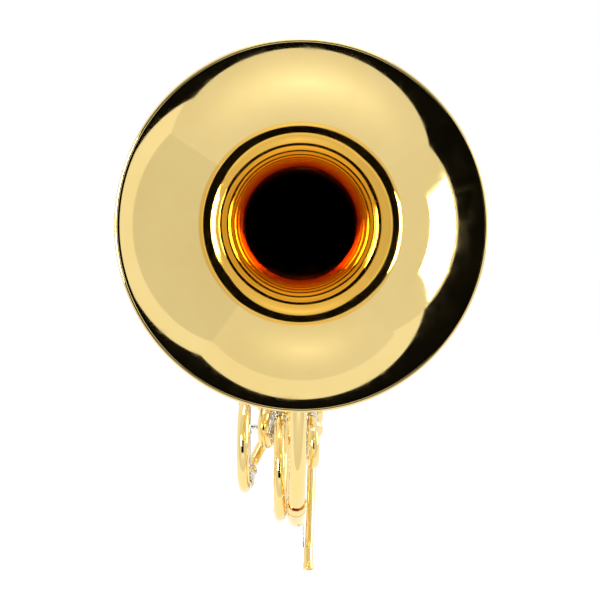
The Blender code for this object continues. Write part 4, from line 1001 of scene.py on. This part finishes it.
    def leadpipe(self, shop: Workshop) -> None:
        """Model the tapered leadpipe, the receiver and the guard."""
        start = RECEIVER_START
        loop = LEADPIPE_LOOP
        centre = COIL_CENTRE
        gap_y = centre.y - start.y
        gap_z = centre.z - start.z
        distance = math.hypot(gap_y, gap_z)
        climb = math.atan2(gap_z, gap_y) - math.asin(loop / distance)
        heading = Vector((0.0, math.cos(climb), math.sin(climb)))
        straight = math.sqrt(distance ** 2 - loop ** 2)
        back_x = LEADPIPE_BACK_X
        receiver = RECEIVER_LENGTH
        path = []
        count = 12
        for index in range(count):
            point = start + heading * (straight * index / count)
            point.x = start.x + (back_x - start.x) * index / count
            path.append(point)
        arc_count = 48
        first_turn = math.pi - climb
        for index in range(arc_count):
            share = index / (arc_count - 1)
            turn = first_turn * (1 - index / arc_count)
            blend = share * share * (3 - 2 * share)
            x = back_x + (LEADPIPE_TOP_X - back_x) * blend
            path.append(Vector((x, centre.y + loop * math.sin(turn), centre.z + loop * math.cos(turn))))
        end = self.slides["main_tuning"].leg(True)
        path += [end + Vector((0.0, 0.012, 0.0)), end + Vector((0.0, SLEEVE_SOCKET + GAP, 0.0))]
        path = path[2:]
        path.insert(0, start + heading * (receiver + GAP))
        lengths = run_lengths(path)
        sizes = [LEADPIPE_THIN + (TUBE_RADIUS - LEADPIPE_THIN) * along / lengths[-1] for along in lengths]
        shop.fit(drawn_tube("leadpipe_tube", path, sizes), Finish.BRASS, "horn_body", ["leadpipe"])
        profile = [
            (0.0, RECEIVER_BORES[0]), (0.0, 0.0056), (0.0004, 0.0059), (0.0066, 0.0059), (0.0070, 0.0056),
            (0.0074, RECEIVER_RADIUS), (receiver - 0.003, RECEIVER_RADIUS), (receiver, 0.0049),
            (receiver, RECEIVER_BORES[1]),
        ]
        cup = turned("receiver_socket", start, heading, profile, Stroke.CLOSED)
        shop.fit(cup, Finish.BRASS, "horn_body", ["mouthpiece_receiver"])
        guard = refined("leadpipe_leaf", "leadpipe_guard", 0.0003)
        shop.fit(guard, Finish.NICKEL, "horn_body", ["leadpipe_guard"])

    def build(self, shop: Workshop) -> None:
        """Model and dress all of it."""
        self.knuckles(shop)
        self.feeding_tubes(shop)
        self.first_branch(shop)
        self.leadpipe(shop)


@dataclass
class ValveStack:
    """The four valves with their casings, caps, plates, rotors and stop arms."""

    def build(self, shop: Workshop) -> None:
        """Dress the valves, and replace their round pieces by smooth ones."""
        for valve, z in VALVE_Z.items():
            label = f"valve_{valve}" if valve != "change" else "change_valve"
            shop.fit(refined(f"{label}_housing", f"{label}_casing", 0.0003), Finish.NICKEL,
                     "horn_body", [f"{label}_casing"])
            shop.fit(refined(f"{label}_back_plate", f"{label}_bearing_plate", 0.00025), Finish.NICKEL,
                     "horn_body", [f"{label}_bearing_plate"])
            shop.fit(self.cap(label, z), Finish.BRASS, "horn_body", [f"{label}_cap"])
            shop.dress_node(f"{label}_rotor", Finish.BRASS)
            shop.fit(refined(f"{label}_stop", f"{label}_stop_arm", 0.0002), Finish.NICKEL,
                     f"{label}_rotor", [f"{label}_stop_arm"])
            shop.dress_node(f"{label}_spring", Finish.STEEL)
            shop.dress_node(f"{label}_string", Finish.CORD)

    def cap(self, label: str, z: float) -> bpy.types.Object:
        """Turn a cap with a rolled rim, a dished face and a centre boss.

        Args:
            label: the valve's label.
            z: the height of its axis.

        Returns:
            The cap.
        """
        outer = CASING_RADIUS + CAP_PROUD
        rolled = CAP_LENGTH - CAP_ROLL
        boss = CAP_LENGTH - CAP_BOSS_DEPTH
        profile = [
            (0.0, 0.0), (0.0, outer), (rolled, outer), (CAP_LENGTH, outer - CAP_ROLL),
            (CAP_LENGTH, outer - CAP_RIM), (rolled, outer - CAP_DISH),
            (CAP_LENGTH - CAP_DISH_DEPTH, CAP_BOSS[0]), (boss, CAP_BOSS[1]), (boss, 0.0),
        ]
        start = Vector((STACK_RIGHT + GAP, STACK_Y, z))
        return turned(f"{label}_screw_cap", start, Vector((1.0, 0.0, 0.0)), profile, sides=CAP_SIDES)


@dataclass
class Levers:
    """The finger levers, the thumb lever, their rod and the hook."""

    def build(self, shop: Workshop) -> None:
        """Refine and dress the levers."""
        for name in ("finger_lever_1", "finger_lever_2", "finger_lever_3", "thumb_lever"):
            shop.fit(refined(f"{name}_key", name, 0.0004), Finish.BRASS, name, [name])
        shop.fit(refined("lever_hinge_rod", "hinge_rod", 0.0003), Finish.STEEL, "horn_body", ["hinge_rod"])
        shop.fit(refined("little_finger_hook", "finger_hook", 0.0006), Finish.BRASS, "horn_body",
                 ["finger_hook"])


def seen_rays(tree: bpy.types.NodeTree) -> bpy.types.NodeSocket:
    """Tell the rays of the eye, of metal and of glass from the light's own.

    Args:
        tree: the node tree to build in.

    Returns:
        A socket that is 1 for the former.
    """
    rays = tree.nodes.new("ShaderNodeLightPath")
    seen = tree.nodes.new("ShaderNodeMath")
    seen.operation = "MAXIMUM"
    clear = tree.nodes.new("ShaderNodeMath")
    clear.operation = "MAXIMUM"
    tree.links.new(rays.outputs["Is Camera Ray"], seen.inputs[0])
    tree.links.new(rays.outputs["Is Glossy Ray"], seen.inputs[1])
    tree.links.new(seen.outputs[0], clear.inputs[0])
    tree.links.new(rays.outputs["Is Transmission Ray"], clear.inputs[1])
    return clear.outputs[0]


@dataclass
class Stage:
    """The camera, the floor, the lamps and the world.

    Attributes:
        camera_place: where the camera stands.
        focal: the focal length for a 36 mm sensor.
        framing: the share of the frame by which the level camera's view is shifted.
        floor_z: the floor's height.
    """

    camera_place: tuple[float, float, float] = (-0.0033, -1.0, 0.017)
    focal: float = 72.5
    framing: tuple[float, float] = (0.005, -0.1583)
    floor_z: float = -0.46

    def camera(self) -> None:
        """Add the level camera, and frame the horn as the photograph does."""
        bpy.ops.object.camera_add(location=self.camera_place, rotation=(math.radians(90), 0.0, 0.0))
        camera = bpy.context.object
        camera.name = "camera"
        camera.data.lens = self.focal
        camera.data.sensor_width = 36.0
        camera.data.shift_x, camera.data.shift_y = self.framing
        bpy.context.scene.camera = camera
        bpy.context.scene.view_settings.view_transform = "Standard"
        bpy.context.scene.cycles.glossy_bounces = 12

    def world(self) -> None:
        """Make the surroundings white to the eye and to metal, and a soft grey light otherwise."""
        world = bpy.data.worlds.new("studio")
        bpy.context.scene.world = world
        world.use_nodes = True
        tree = world.node_tree
        strength = tree.nodes.new("ShaderNodeMapRange")
        strength.inputs["To Min"].default_value = 0.55
        strength.inputs["To Max"].default_value = 1.0
        background = tree.nodes["Background"]
        background.inputs["Color"].default_value = (1.0, 1.0, 1.0, 1.0)
        tree.links.new(seen_rays(tree), strength.inputs["Value"])
        tree.links.new(strength.outputs["Result"], background.inputs["Strength"])

    def floor(self) -> None:
        """Lay the pale floor, which keeps the horn's shadow."""
        bpy.ops.object.select_all(action="DESELECT")
        bpy.ops.mesh.primitive_plane_add(size=14.0, location=(0.0, 0.0, self.floor_z))
        floor = bpy.context.object
        floor.name = "floor"
        material = bpy.data.materials.new("pale_floor")
        material.use_nodes = True
        tree = material.node_tree
        shader = tree.nodes["Principled BSDF"]
        shader.inputs["Base Color"].default_value = (0.92, 0.92, 0.92, 1.0)
        shader.inputs["Roughness"].default_value = 0.9
        shader.inputs["Specular IOR Level"].default_value = 0.1
        glow = tree.nodes.new("ShaderNodeEmission")
        glow.inputs["Color"].default_value = (1.0, 1.0, 1.0, 1.0)
        glow.inputs["Strength"].default_value = 1.12
        share = tree.nodes.new("ShaderNodeMath")
        share.operation = "MULTIPLY"
        share.inputs[1].default_value = 0.82
        both = tree.nodes.new("ShaderNodeMixShader")
        tree.links.new(seen_rays(tree), share.inputs[0])
        tree.links.new(share.outputs[0], both.inputs["Fac"])
        tree.links.new(shader.outputs["BSDF"], both.inputs[1])
        tree.links.new(glow.outputs["Emission"], both.inputs[2])
        tree.links.new(both.outputs["Shader"], tree.nodes["Material Output"].inputs["Surface"])
        floor.data.materials.append(material)

    def panel(self, name: str, place: tuple[float, float, float], turn: float,
              size: tuple[float, float], light: tuple[float, float]) -> None:
        """Hang a lit panel of the light tent, which only polished metal shows.

        Args:
            name: its name.
            place: its middle.
            turn: its rotation about Y, in degrees.
            size: its width and height.
            light: its brightness at the edge and in the middle.
        """
        angles = (0.0, math.radians(turn), 0.0)
        bpy.ops.object.select_all(action="DESELECT")
        bpy.ops.mesh.primitive_plane_add(size=1.0, location=place, rotation=angles)
        card = bpy.context.object
        card.name = name
        card.scale = (*size, 1.0)
        bpy.ops.object.transform_apply(location=False, rotation=False, scale=True)
        material = bpy.data.materials.new(f"{name}_cloth")
        material.use_nodes = True
        tree = material.node_tree
        where = tree.nodes.new("ShaderNodeTexCoord")
        scale = tree.nodes.new("ShaderNodeMapping")
        scale.inputs["Scale"].default_value = (FADE_REACH / size[0], FADE_REACH / size[1], 1.0)
        fade = tree.nodes.new("ShaderNodeTexGradient")
        fade.gradient_type = "QUADRATIC_SPHERE"
        strength = tree.nodes.new("ShaderNodeMapRange")
        strength.inputs["To Min"].default_value, strength.inputs["To Max"].default_value = light
        glow = tree.nodes.new("ShaderNodeEmission")
        tree.links.new(where.outputs["Object"], scale.inputs["Vector"])
        tree.links.new(scale.outputs["Vector"], fade.inputs["Vector"])
        tree.links.new(fade.outputs["Fac"], strength.inputs["Value"])
        tree.links.new(strength.outputs["Result"], glow.inputs["Strength"])
        tree.links.new(glow.outputs["Emission"], tree.nodes["Material Output"].inputs["Surface"])
        card.data.materials.append(material)
        card.visible_camera = False
        card.visible_diffuse = False
        card.visible_shadow = False

    def light_tent(self) -> None:
        """Hang the tent's panels beside, above and below the view, where the bell shows them."""
        for panel in PANELS:
            self.panel(*panel)

    def dark_room(self) -> None:
        """Hang the dark behind the camera, which the bell shows as its black rings."""
        bpy.ops.object.select_all(action="DESELECT")
        upright = (math.radians(90), 0.0, 0.0)
        bpy.ops.mesh.primitive_plane_add(size=1.0, location=DARK_PLACE, rotation=upright)
        card = bpy.context.object
        card.name = "dark_card"
        card.scale = (*DARK_SIZE, 1.0)
        bpy.ops.object.transform_apply(location=False, rotation=False, scale=True)
        material = bpy.data.materials.new("black_cloth")
        material.use_nodes = True
        shader = material.node_tree.nodes["Principled BSDF"]
        shader.inputs["Base Color"].default_value = (0.004, 0.004, 0.004, 1.0)
        shader.inputs["Roughness"].default_value = 1.0
        shader.inputs["Specular IOR Level"].default_value = 0.0
        card.data.materials.append(material)
        card.visible_camera = False
        card.visible_diffuse = False
        card.visible_shadow = False

    def lamp(self, name: str, place: tuple[float, float, float], size: tuple[float, float],
             power: float) -> None:
        """Add a soft box.

        Args:
            name: its name.
            place: where it stands.
            size: its width and height.
            power: its power in watts.
        """
        turn = (LAMP_AIM - Vector(place)).to_track_quat("-Z", "Y").to_euler()
        bpy.ops.object.light_add(type="AREA", location=place, rotation=turn)
        lamp = bpy.context.object
        lamp.name = name
        lamp.data.shape = "RECTANGLE"
        lamp.data.size, lamp.data.size_y = size
        lamp.data.energy = power
        lamp.visible_camera = False

    def build(self) -> None:
        """Set the whole stage."""
        self.camera()
        self.world()
        self.floor()
        self.dark_room()
        self.light_tent()
        for lamp in LAMPS:
            self.lamp(*lamp)


def main() -> None:
    """Build the horn's looks, piece by piece."""
    logging.basicConfig(level=logging.INFO, format="%(message)s")
    bpy.ops.object.select_all(action="DESELECT")
    Stage().build()
    shop = Workshop()
    slides = slide_table()
    Bell().build(shop)
    for slide in slides.values():
        slide.outer_tubes(shop)
        slide.crook(shop)
    Plumbing(slides).build(shop)
    ValveStack().build(shop)
    Levers().build(shop)
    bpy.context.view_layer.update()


if __name__ == "__main__":
    main()
